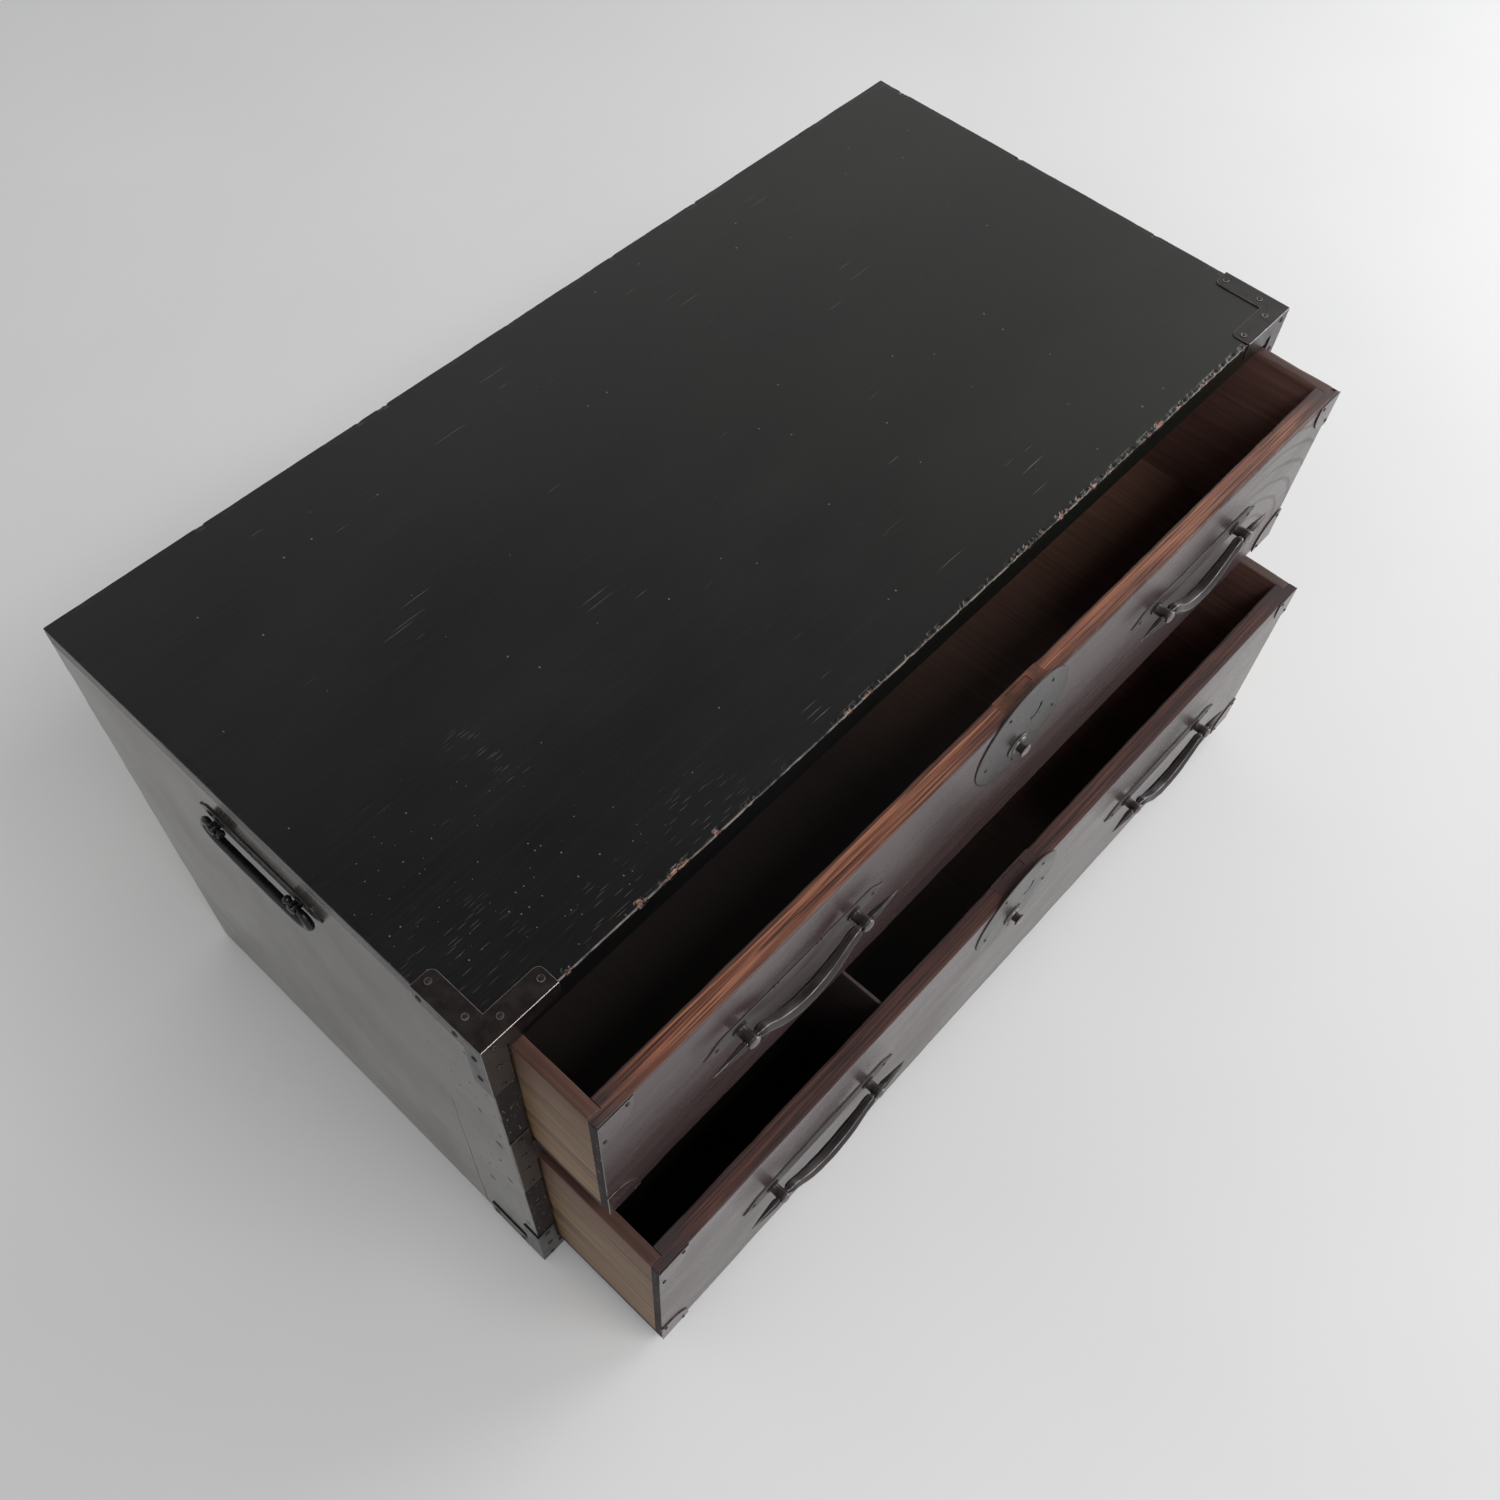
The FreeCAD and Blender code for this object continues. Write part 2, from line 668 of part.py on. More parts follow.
def drawer_bail_shape():
    """A leech-shaped bail hung on its pins, which run out through the posts as long thorns."""
    drop = measure("bail_drop")
    thick = measure("bail_radius")
    half = measure("handle_half - ball_radius - bail_end_gap")
    right = [(a * half, -b * drop, c * thick) for a, b, c in BAIL_SHARES]
    left = [(-x, z, radius) for x, z, radius in reversed(right[:-1])]
    shape = rod(right + left)
    pin = measure("pin_radius")
    tip = measure("thorn_tip_radius")
    thorn = measure("thorn_length")
    pin_end = measure("handle_half + ball_radius + bail_end_gap")
    for side in (-1, 1):
        start = FreeCAD.Vector(side * half, 0, 0)
        heading = FreeCAD.Vector(side, 0, 0)
        end = FreeCAD.Vector(side * pin_end, 0, 0)
        shape = shape.fuse(Part.makeCylinder(pin, pin_end - half, start, heading))
        shape = shape.fuse(Part.makeCone(pin, tip, thorn, end, heading))
    return shape.removeSplitter()


# Half of a carrying bail from outside its post to its middle. The first number is a share of
# the half span and the second of the reach past it, then come shares of the drop and the radius.
CARRY_SHARES = [(1, 0.42, 0, 0.62), (1, 0.7, 0.07, 0.7), (1, 0.93, 0.27, 0.8), (1, 0.98, 0.52, 0.86),
                (1, 0.72, 0.76, 0.92), (1, 0.2, 0.92, 0.96), (0.8, 0, 0.98, 1), (0.5, 0, 1, 1), (0, 0, 1, 1)]


def carry_bail_shape():
    """A bail wider than its posts, with its ends turned in through them to small knobs."""
    half = measure("carry_half")
    reach = measure("carry_reach")
    drop = measure("carry_drop")
    thick = measure("carry_radius")
    right = [(a * half + b * reach, -c * drop, d * thick) for a, b, c, d in CARRY_SHARES]
    left = [(-x, z, radius) for x, z, radius in reversed(right[:-1])]
    shape = rod(right + left)
    pin_end = measure("carry_half - carry_ball_radius - bail_end_gap")
    pin_length = right[0][0] - pin_end
    knob_radius = measure("carry_knob_radius")
    knob_length = measure("carry_knob_length")
    for side in (-1, 1):
        heading = FreeCAD.Vector(side, 0, 0)
        start = FreeCAD.Vector(side * pin_end, 0, 0)
        pin = Part.makeCylinder(measure("carry_pin_radius"), pin_length, start, heading)
        knob = Part.makeCylinder(knob_radius, knob_length, start, heading * -1)
        shape = shape.fuse(pin).fuse(knob)
    return shape.removeSplitter()


def make_handle(label, x, y, z):
    """One drawer handle: plate, posts and bail, about x on the face y at the height z."""
    plate = make_handle_plate(f"{label}_handle_plate", "handle_plate_length", "handle_plate_width",
                              "handle_half", x, y, z)
    posts = []
    for side in (-1, 1):
        posts.append(make_post(f"{label}_post_{len(posts) + 1}", "handle_standoff", "ball_radius",
                               "neck_radius", "collar_radius", "collar_height", "pin_hole",
                               "front_thickness",
                               f"{x} + {side} * handle_half", y, z))
    bail = feature_from(f"{label}_bail", drawer_bail_shape(), x, f"{y} - handle_standoff", z)
    return [plate, group(f"{label}_handle_posts", posts), bail]


def make_carry_handle(label, side):
    """One carrying handle on a side board, facing outwards."""
    turn = 90 * side
    x = f"{side} * half_width"
    plate = make_handle_plate(f"{label}_carry_plate", "carry_plate_length", "carry_plate_width",
                              "carry_half", x, "carry_place", "carry_height", turn)
    posts = []
    for way in (-1, 1):
        posts.append(make_post(f"{label}_carry_post_{len(posts) + 1}", "carry_standoff",
                               "carry_ball_radius", "carry_neck_radius", "carry_collar_radius",
                               "carry_collar_height",
                               "carry_pin_hole", "(side_thickness - clench_sink)",
                               x, f"carry_place + {way} * carry_half", "carry_height", turn))
    bail = feature_from(f"{label}_carry_bail", carry_bail_shape(),
                        f"{side} * (half_width + carry_standoff)", "carry_place", "carry_height", turn)
    return [plate, group(f"{label}_carry_posts", posts), bail]


# Drawers

def make_drawer_front(name, face, low, top):
    """A front lapped for its sides and bottom, let in for the lock and bored for the posts."""
    body = new_body(f"{name}_drawer_front")
    sketch = sketch_on(body, "XZ_Plane", f"0 - {face} - front_thickness")
    rectangle(sketch, "0 - drawer_half", low, "drawer_half", top)
    pad(body, sketch, "front_thickness")
    lap = sketch_on(body, "XZ_Plane", f"0 - {face} - front_lap")
    outline(lap, [
        ("0 - drawer_half - overrun", f"{top} + overrun"),
        ("0 - drawer_half - overrun", f"{low} - overrun"),
        ("drawer_half + overrun", f"{low} - overrun"),
        ("drawer_half + overrun", f"{top} + overrun"),
        ("drawer_half - drawer_side_thickness", f"{top} + overrun"),
        ("drawer_half - drawer_side_thickness", f"{low} + drawer_bottom_thickness"),
        ("drawer_side_thickness - drawer_half", f"{low} + drawer_bottom_thickness"),
        ("drawer_side_thickness - drawer_half", f"{top} + overrun"),
    ])
    pocket(body, lap, "front_thickness - front_lap + overrun")
    case = sketch_on(body, "XZ_Plane", f"0 - {face} - case_skin")
    rectangle(case, "0 - case_width / 2 - case_gap", f"{top} - case_height - case_gap",
              "case_width / 2 + case_gap", f"{top} + overrun")
    pocket(body, case, "front_thickness - case_skin + overrun")
    holes = sketch_on(body, "XZ_Plane", f"overrun - {face}")
    circle(holes, 0, f"{top} - button_depth", "button_radius + button_gap")
    for side in (-1, 1):
        for way in (-1, 1):
            circle(holes, f"{side} * handle_place + {way} * handle_half", f"{top} - {name}_handle_depth",
                   "shank_hole")
    pocket(body, holes, "front_thickness + 2 * overrun")
    return body


def make_drawer_box(name, face, low, top):
    """The sides, back and bottom behind a drawer's front."""
    start = f"{face} + front_lap"
    length = "drawer_length - front_lap"
    wall = f"{low} + drawer_bottom_thickness"
    tall = f"{name}_height - drawer_bottom_thickness"
    pieces = []
    for side, x in (("left", "0 - drawer_half"), ("right", "drawer_half - drawer_side_thickness")):
        pieces.append(box(f"{name}_drawer_{side}_side", x, start, wall,
                          "drawer_side_thickness", length, tall))
    pieces.append(box(f"{name}_drawer_back", "drawer_side_thickness - drawer_half",
                      f"{face} + drawer_length - drawer_back_thickness", wall,
                      "2 * (drawer_half - drawer_side_thickness)", "drawer_back_thickness", tall))
    pieces.append(box(f"{name}_drawer_bottom", "0 - drawer_half", start, low,
                      "2 * drawer_half", length, "drawer_bottom_thickness"))
    return pieces


def make_front_irons(name, face, low, top):
    """The four corner irons nailed to a drawer front, each with a hollowed inner edge."""
    irons = []
    for side in (-1, 1):
        for edge, way in ((low, 1), (top, -1)):
            body = new_body(f"{name}_front_iron_{len(irons) + 1}")
            sketch = sketch_on(body, "XZ_Plane", f"0 - {face}")
            corner = f"{side} * drawer_half"
            bow = side * way
            outline(sketch, [
                (corner, edge),
                (f"{corner} - {side} * front_iron_length", edge),
                (f"{corner} - {side} * front_iron_length", f"{edge} + {way} * front_iron_waist",
                 "front_iron_arc", bow),
                (f"{corner} - {side} * front_iron_waist", f"{edge} + {way} * front_iron_drop"),
                (corner, f"{edge} + {way} * front_iron_drop"),
            ])
            pad(body, sketch, "iron_thickness")
            irons.append(body)
    return group(f"{name}_front_irons", irons)


def drawer_nails(name, face, low, top):
    """The nails in a drawer's plates and corner irons, and those that join its boards."""
    nails = []
    skin = f"{face} - iron_thickness"
    lock = f"{top} - lock_plate_depth"
    for turn in (-90, -18, 54, 126, 198):
        across = f"lock_nail_circle * cos({turn} deg)"
        up = f"lock_nail_circle * sin({turn} deg)"
        # The lock's case lies behind the wood's skin there, so these nails stop within it.
        nails.append(nail(across, skin, f"{lock} + {up}", (0, -1, 0), "case_skin"))
    handle = f"{top} - {name}_handle_depth"
    for side in (-1, 1):
        for way in (-1, 1):
            tip = f"{side} * handle_place + {way} * (handle_plate_length / 2 - 2 * nail_inset)"
            nails.append(nail(tip, skin, handle, (0, -1, 0)))
        for edge, way in ((low, 1), (top, -1)):
            corner = f"{side} * drawer_half"
            nails.append(nail(f"{corner} - {side} * (front_iron_length - nail_inset)", skin,
                              f"{edge} + {way} * front_iron_waist / 2", (0, -1, 0)))
            nails.append(nail(f"{corner} - {side} * front_iron_waist / 2", skin,
                              f"{edge} + {way} * (front_iron_drop - nail_inset)", (0, -1, 0)))
        outer = f"{side} * drawer_half"
        for place_y in (f"{face} + (front_lap + front_thickness) / 2",
                        f"{face} + drawer_length - drawer_back_thickness / 2"):
            for share in (0.2, 0.5, 0.8):
                flush = f"{outer} - {side} * nail_head_height"
                up = f"{low} + {share} * {name}_height"
                nails.append(nail(flush, place_y, up, (side, 0, 0), "joint_nail_length"))
    return feature_from(f"{name}_drawer_nails", Part.makeCompound(nails))


# Locks

# Where the key slot's arc starts and ends, in degrees up from its level.
KEY_SLOT_ENDS = (-55, 18)
# The button head's worn edge, as shares of the head's radius and height.
HEAD_EDGE_SHARES = (0.8, 0.6)


def make_lock(name, face, top):
    """A push-button lock: pressing the button in drives the bolt up out of the front's edge."""
    return [make_lock_plate(name, face, top), make_lock_case(name, face, top),
            make_lock_bolt(name, face, top), make_lock_button(name, face, top),
            make_leaf_spring(name, face, top)]


def make_lock_plate(name, face, top):
    """The round plate with its stepped boss round the button, a curved key slot and a pin hole."""
    body = new_body(f"{name}_lock_plate")
    middle = f"{top} - lock_plate_depth"
    button = f"{top} - button_depth"
    disc = sketch_on(body, "XZ_Plane", f"0 - {face}")
    circle(disc, 0, middle, "lock_plate_radius")
    pad(body, disc, "iron_thickness")
    boss = sketch_on(body, "XZ_Plane", f"iron_thickness - {face}")
    circle(boss, 0, button, "boss_radius")
    pad(body, boss, "boss_height")
    step = sketch_on(body, "XZ_Plane", f"iron_thickness + boss_height - {face}")
    circle(step, 0, button, "boss_step_radius")
    pad(body, step, "boss_step_height")
    bore = sketch_on(body, "XZ_Plane", f"iron_thickness + boss_height + boss_step_height + overrun - {face}")
    circle(bore, 0, button, "button_radius + button_gap")
    pocket(body, bore, "iron_thickness + boss_height + boss_step_height + 2 * overrun")
    key = sketch_on(body, "XZ_Plane", f"iron_thickness + overrun - {face}")
    corners = []
    for radius, start, end, bow in (("(key_slot_arc + key_slot_width / 2)", *KEY_SLOT_ENDS, -1),
                                    ("(key_slot_arc - key_slot_width / 2)", *reversed(KEY_SLOT_ENDS), 1)):
        for turn, curve in ((start, (radius, bow)), (end, ())):
            corners.append((f"key_slot_across + {radius} * cos({turn} deg)",
                            f"{middle} + key_slot_up + {radius} * sin({turn} deg)", *curve))
    outline(key, corners)
    circle(key, "key_hole_across", f"{middle} + key_hole_up", "key_hole_radius")
    pocket(body, key, "iron_thickness + 2 * overrun")
    return body


def make_lock_case(name, face, top):
    """The iron tray let into the front from behind, slotted at the top for the bolt."""
    body = new_body(f"{name}_lock_case")
    shell = sketch_on(body, "XZ_Plane", f"0 - {face} - front_thickness")
    rectangle(shell, "0 - case_width / 2", f"{top} - case_height", "case_width / 2", top)
    pad(body, shell, "front_thickness - case_skin")
    inside = sketch_on(body, "XZ_Plane", f"overrun - {face} - case_skin")
    rectangle(inside, "case_wall - case_width / 2", f"{top} - case_height + case_wall",
              "case_width / 2 - case_wall", f"{top} - case_wall")
    pocket(body, inside, "front_thickness - case_skin - case_wall + overrun")
    slot = sketch_on(body, "XY_Plane", f"{top} + overrun")
    rectangle(slot, "0 - bolt_width / 2 - bolt_gap", f"{face} + bolt_set_back - bolt_gap",
              "bolt_width / 2 + bolt_gap", f"{face} + bolt_set_back + bolt_thickness + bolt_gap")
    pocket(body, slot, "case_wall + 2 * overrun")
    return body


def make_lock_bolt(name, face, top):
    """A flat bolt whose tail is cut on the slant of the button's end, which lifts it."""
    body = new_body(f"{name}_lock_bolt")
    near = "bolt_set_back"
    far = "bolt_set_back + bolt_thickness"
    meet = f"{top} - button_depth + button_radius + bolt_gap * (1 + wedge_slope)"
    start = "case_skin + case_wall + bolt_gap"
    sketch = sketch_on(body, "YZ_Plane", "0 - bolt_width / 2")
    outline(sketch, [
        (f"{face} + {near}", f"{top} - bolt_sink"),
        (f"{face} + {near}", f"{meet} - wedge_slope * ({near} - ({start}))"),
        (f"{face} + {far}", f"{meet} - wedge_slope * ({far} - ({start}))"),
        (f"{face} + {far}", f"{top} - bolt_sink"),
    ])
    pad(body, sketch, "bolt_width")
    return body


def make_lock_button(name, face, top):
    """The round push button, turned in one piece with its shaft, whose end is cut slanting."""
    body = new_body(f"{name}_lock_button")
    boss_top = "iron_thickness + boss_height + boss_step_height"
    head = f"0 - ({boss_top}) - button_travel - button_gap"
    start = "case_skin + case_wall + bolt_gap"
    end = f"{start} + 2 * button_radius / wedge_slope"
    across_share, up_share = HEAD_EDGE_SHARES
    profile = sketch_on(body, "XY_Plane")
    outline(profile, [
        (0, end),
        (0, f"{head} - button_head_height"),
        (f"button_head_radius * {across_share}", f"{head} - button_head_height"),
        ("button_head_radius", f"{head} - button_head_height * {up_share}"),
        ("button_head_radius", head),
        ("button_radius", head),
        ("button_radius", end),
    ])
    turned(body, profile)
    slant = sketch_on(body, "YZ_Plane", "button_radius + overrun")
    outline(slant, [
        (f"{start} - overrun / wedge_slope", "button_radius + overrun"),
        (f"{end} + overrun / wedge_slope", "0 - button_radius - overrun"),
        (f"{end} + overrun / wedge_slope", "button_radius + overrun"),
    ])
    pocket(body, slant, "2 * (button_radius + overrun)")
    place(body, 0, face, f"{top} - button_depth")
    return body


def make_leaf_spring(name, face, top):
    """A leaf bent to a V between the case's wall and the bolt's edge, which it bears on."""
    body = new_body(f"{name}_lock_spring")
    wall = "case_width / 2 - case_wall"
    near = "bolt_width / 2 + bolt_gap"
    foot = f"{top} - case_height + leaf_up"
    thick = "leaf_thickness"
    sketch = sketch_on(body, "XZ_Plane", f"0 - {face} - bolt_set_back - leaf_width + leaf_thickness")
    outline(sketch, [
        (wall, foot),
        (near, f"{foot} + leaf_length / 2"),
        (wall, f"{foot} + leaf_length"),
        (wall, f"{foot} + leaf_length - 2 * {thick}"),
        (f"{near} + {thick}", f"{foot} + leaf_length / 2"),
        (wall, f"{foot} + 2 * {thick}"),
    ])
    pad(body, sketch, "leaf_width")
    return body


def make_drawer(name):
    """A whole drawer with its lock, two handles, corner irons and nails."""
    face = f"{name}_face"
    low = f"{name}_bottom"
    top = f"{name}_top"
    pieces = [make_drawer_front(name, face, low, top)]
    pieces += make_drawer_box(name, face, low, top)
    pieces += make_lock(name, face, top)
    for side, word in ((-1, "left"), (1, "right")):
        pieces += make_handle(f"{name}_{word}", f"{side} * handle_place", face,
                              f"{top} - {name}_handle_depth")
    pieces.append(make_front_irons(name, face, low, top))
    pieces.append(drawer_nails(name, face, low, top))
    return pieces


def make_divider():
    """A thin board that parts the lower drawer's left third from the rest."""
    return box("lower_drawer_divider", "0 - divider_place - divider_thickness / 2",
               "lower_face + front_thickness", "lower_bottom + drawer_bottom_thickness", "divider_thickness",
               "drawer_length - front_thickness - drawer_back_thickness",
               "lower_height - drawer_bottom_thickness - divider_drop")


pieces = [make_top_board(), make_middle_rail(), make_back_boards(), make_kickers(), make_stops()]
pieces += make_case_boards()
for side, word in ((-1, "left"), (1, "right")):
    pieces.append(make_side_board(f"{word}_side_board", side))
    pieces.append(make_upper_corner_iron(f"upper_{word}_corner_iron", side))
    pieces.append(make_lower_corner_iron(f"lower_{word}_corner_iron", side))
    pieces.append(make_middle_iron(f"middle_{word}_iron", side))
    pieces += make_carry_handle(word, side)
pieces.append(case_nails())
pieces += make_drawer("upper")
pieces += make_drawer("lower")
pieces.append(make_divider())
doc.recompute()

# Every object has to be sound before anything is written.
for thing in doc.Objects:
    if "Invalid" in thing.State or "Error" in thing.State:
        raise RuntimeError(f"{thing.Label} did not build: {thing.State}")
for piece in pieces:
    if piece.Shape.isNull() or not piece.Shape.isValid() or not piece.Shape.Solids:
        raise RuntimeError(f"{piece.Label} has no sound shape")

os.makedirs("parts", exist_ok=True)
for piece in pieces:
    piece.Shape.exportStep(f"parts/{piece.Label}.step")
    print(f"{piece.Label}: {len(piece.Shape.Solids)} solids, {piece.Shape.Volume / 1000:.1f} cm3")
print(f"{len(pieces)} pieces")
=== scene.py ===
"""A two-drawer tansu chest in worn black lacquer with blackened iron, drawers part open."""
import json
import math
import random

import bmesh
import bpy
from mathutils import Matrix, Vector, noise

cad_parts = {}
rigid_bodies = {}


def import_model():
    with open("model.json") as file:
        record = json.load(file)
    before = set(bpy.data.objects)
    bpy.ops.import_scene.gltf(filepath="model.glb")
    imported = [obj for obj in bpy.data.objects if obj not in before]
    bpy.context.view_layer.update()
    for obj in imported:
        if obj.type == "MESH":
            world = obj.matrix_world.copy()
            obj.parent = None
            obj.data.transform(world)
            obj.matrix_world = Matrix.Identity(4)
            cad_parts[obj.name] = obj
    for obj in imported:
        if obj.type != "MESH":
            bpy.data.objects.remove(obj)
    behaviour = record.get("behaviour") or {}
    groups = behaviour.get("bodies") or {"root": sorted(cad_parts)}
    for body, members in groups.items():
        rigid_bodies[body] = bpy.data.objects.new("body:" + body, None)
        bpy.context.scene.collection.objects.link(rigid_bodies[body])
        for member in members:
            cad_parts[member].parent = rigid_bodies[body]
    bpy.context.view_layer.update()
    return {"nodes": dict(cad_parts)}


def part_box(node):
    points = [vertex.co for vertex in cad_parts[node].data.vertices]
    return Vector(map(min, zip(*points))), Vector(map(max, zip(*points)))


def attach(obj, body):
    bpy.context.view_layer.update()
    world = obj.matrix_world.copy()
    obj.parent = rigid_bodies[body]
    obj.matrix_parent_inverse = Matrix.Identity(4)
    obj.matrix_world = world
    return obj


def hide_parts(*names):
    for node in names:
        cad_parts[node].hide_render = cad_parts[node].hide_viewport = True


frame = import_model()

MM = 0.001
MERGE = 0.005 * MM                  # corners nearer than this are one
ACROSS, DEEP, UP = 0, 1, 2          # the three axes: along the width, front to back, upwards
SIDES = {"left": -1, "right": 1}
OUTWARD = Matrix.Rotation(math.pi / 2, 4, "X")      # turns what was made upright to the front

# The case and the drawers in millimetres, as the CAD has them
HALF_WIDTH = 450
HALF_DEPTH = 222.5
BAY = 431                           # half the width between the sides
TOP_UNDER = 455.6
TOP_LAP = 467.6                     # the top of the sides, which the top board laps over
HEIGHT = 482.6
BACK_INSIDE = 213.5                 # the inner face of the back
HOUSING = 7                         # how deep boards are let into the sides
RAIL = (237.3, 273.3)               # its underside and its top
RAIL_BACK = -188.5
SHELF_UNDER = 265.3
# A drawer's face, bottom and top, and how far its handles are below the top
DRAWERS = {"upper": (-296.5, 273.6, 453.6, 68), "lower": (-343.5, 15.3, 235.3, 98)}
DRAWER_HALF = 430
HANDLE_PLACE = 246                  # a handle's middle from the drawer's
POST_PLACE = 58.5                   # a post from the handle's middle
# A carrying handle's middle, along the depth and up, and a post's distance from it
CARRY_PLACE, CARRY_HEIGHT, CARRY_HALF = 4, 427.6, 43
PLATE_THICK = 1.2
# How far the lock plate's middle and the button are below a front's top, and the button's hole
LOCK_DROP, BUTTON_DROP, BUTTON_BORE = 38, 61, 4.3


# Modelling helpers

def take(piece):
    """Makes the piece the only one selected."""
    for item in bpy.context.view_layer.objects:
        item.select_set(False)
    piece.hide_set(False)
    piece.select_set(True)
    bpy.context.view_layer.objects.active = piece


def start_edit(piece, mode="VERT"):
    """Opens the piece in edit mode with nothing selected."""
    take(piece)
    bpy.ops.object.mode_set(mode="EDIT")
    bpy.ops.mesh.select_mode(type=mode)
    bpy.ops.mesh.select_all(action="DESELECT")


def end_edit():
    """Goes back to object mode."""
    bpy.ops.object.mode_set(mode="OBJECT")


def pick(piece, kind, test):
    """In edit mode, selects the corners, edges or faces that pass the test."""
    mesh = bmesh.from_edit_mesh(piece.data)
    for item in getattr(mesh, kind):
        if test(item):
            item.select_set(True)
    bmesh.update_edit_mesh(piece.data)


def apply(piece, kind, **settings):
    """Adds a modifier and applies it."""
    take(piece)
    modifier = piece.modifiers.new(kind.lower(), kind)
    for field, value in settings.items():
        setattr(modifier, field, value)
    bpy.ops.object.modifier_apply(modifier=modifier.name)


def settle(piece):
    """Puts the piece's place into its mesh."""
    take(piece)
    bpy.ops.object.transform_apply(location=True, rotation=True, scale=True)
    return piece


def clean(piece):
    """Merges doubles and turns every face outwards."""
    start_edit(piece)
    bpy.ops.mesh.select_all(action="SELECT")
    bpy.ops.mesh.remove_doubles(threshold=MERGE)
    bpy.ops.mesh.normals_make_consistent(inside=False)
    end_edit()
    return piece


def started(name, shape, **how):
    """Adds the primitive that a piece is shaped from, alone in the selection."""
    take(frame["nodes"]["top_board"])
    getattr(bpy.ops.mesh, f"primitive_{shape}_add")(**how)
    piece = bpy.context.active_object
    piece.name = name
    return piece


def block(name, low, high):
    """A board or cutter between two corners, in millimetres."""
    low, high = Vector(low) * MM, Vector(high) * MM
    return settle(started(name, "cube", size=1, location=(low + high) / 2, scale=high - low))


def peg(radius, length, place, axis, sides):
    """A round cutter along one axis, in millimetres."""
    turn = {ACROSS: (0, math.pi / 2, 0), DEEP: (math.pi / 2, 0, 0)}[axis]
    return settle(started("peg", "cylinder", vertices=sides, radius=radius * MM, depth=length * MM,
                          location=[part * MM for part in place], rotation=turn))


def shifted(x, y, z):
    """A move in millimetres."""
    return Matrix.Translation([part * MM for part in (x, y, z)])


def ease(piece, width, segments=2, angle=35, rubbed=-1):
    """Rounds every sharp arris a little. The new faces may take a second, rubbed finish."""
    apply(piece, "BEVEL", width=width * MM, segments=segments, limit_method="ANGLE",
          angle_limit=math.radians(angle), use_clamp_overlap=True, material=rubbed)
    return piece


def cut(piece, *cutters):
    """Takes the cutters out of the piece."""
    for cutter in cutters:
        apply(piece, "BOOLEAN", object=cutter, operation="DIFFERENCE", solver="EXACT")
        bpy.data.objects.remove(cutter)
    return piece


def joined(name, pieces):
    """Several pieces made one object."""
    take(pieces[0])
    for piece in pieces[1:]:
        piece.select_set(True)
    bpy.ops.object.join()
    whole = bpy.context.active_object
    whole.name = name
    return whole


def copied(piece, matrix):
    """A copy of the piece with a mesh of its own, moved by the matrix."""
    twin = piece.copy()
    twin.data = piece.data.copy()
    twin.data.transform(matrix)
    bpy.context.scene.collection.objects.link(twin)
    if matrix.determinant() < 0:
        twin.data.flip_normals()
    return twin


def from_cad(name, node):
    """A copy of a CAD node with its loose triangles merged to plain faces."""
    source = frame["nodes"][node]
    piece = bpy.data.objects.new(name, source.data.copy())
    bpy.context.scene.collection.objects.link(piece)
    start_edit(piece)
    bpy.ops.mesh.customdata_custom_splitnormals_clear()
    bpy.ops.mesh.select_all(action="SELECT")
    bpy.ops.mesh.remove_doubles(threshold=MERGE)
    bpy.ops.mesh.dissolve_limited(angle_limit=math.radians(0.5))
    end_edit()
    return piece


def score(piece, axis, *places):
    """Cuts lines round a board at places along one axis, in millimetres."""
    way = [float(axis == number) for number in range(3)]
    start_edit(piece)
    for place in places:
        bpy.ops.mesh.select_all(action="SELECT")
        bpy.ops.mesh.bisect(plane_co=[part * place * MM for part in way], plane_no=way)
    end_edit()


def slice_along(piece, axis, spacing, near=lambda middle: True):
    """Cuts a board across one axis at even spacing, so that its arrises can be worn. The test is
    given the middle of an edge in millimetres, and can keep the cuts to one arris."""
    def runs_along(edge):
        way = edge.verts[1].co - edge.verts[0].co
        middle = (edge.verts[0].co + edge.verts[1].co) / 2 / MM
        return way.length > 3 * spacing * MM and abs(way[axis]) > 0.999 * way.length and near(middle)

    pieces = max(2, round(piece.dimensions[axis] / (spacing * MM)))
    coarse = math.ceil(pieces / 90)
    start_edit(piece, "EDGE")
    for parts in (coarse, round(pieces / coarse)):
        bpy.ops.mesh.select_all(action="DESELECT")
        pick(piece, "edges", runs_along)
        if parts > 1:
            bpy.ops.mesh.subdivide(number_cuts=parts - 1)
    end_edit()
    return piece


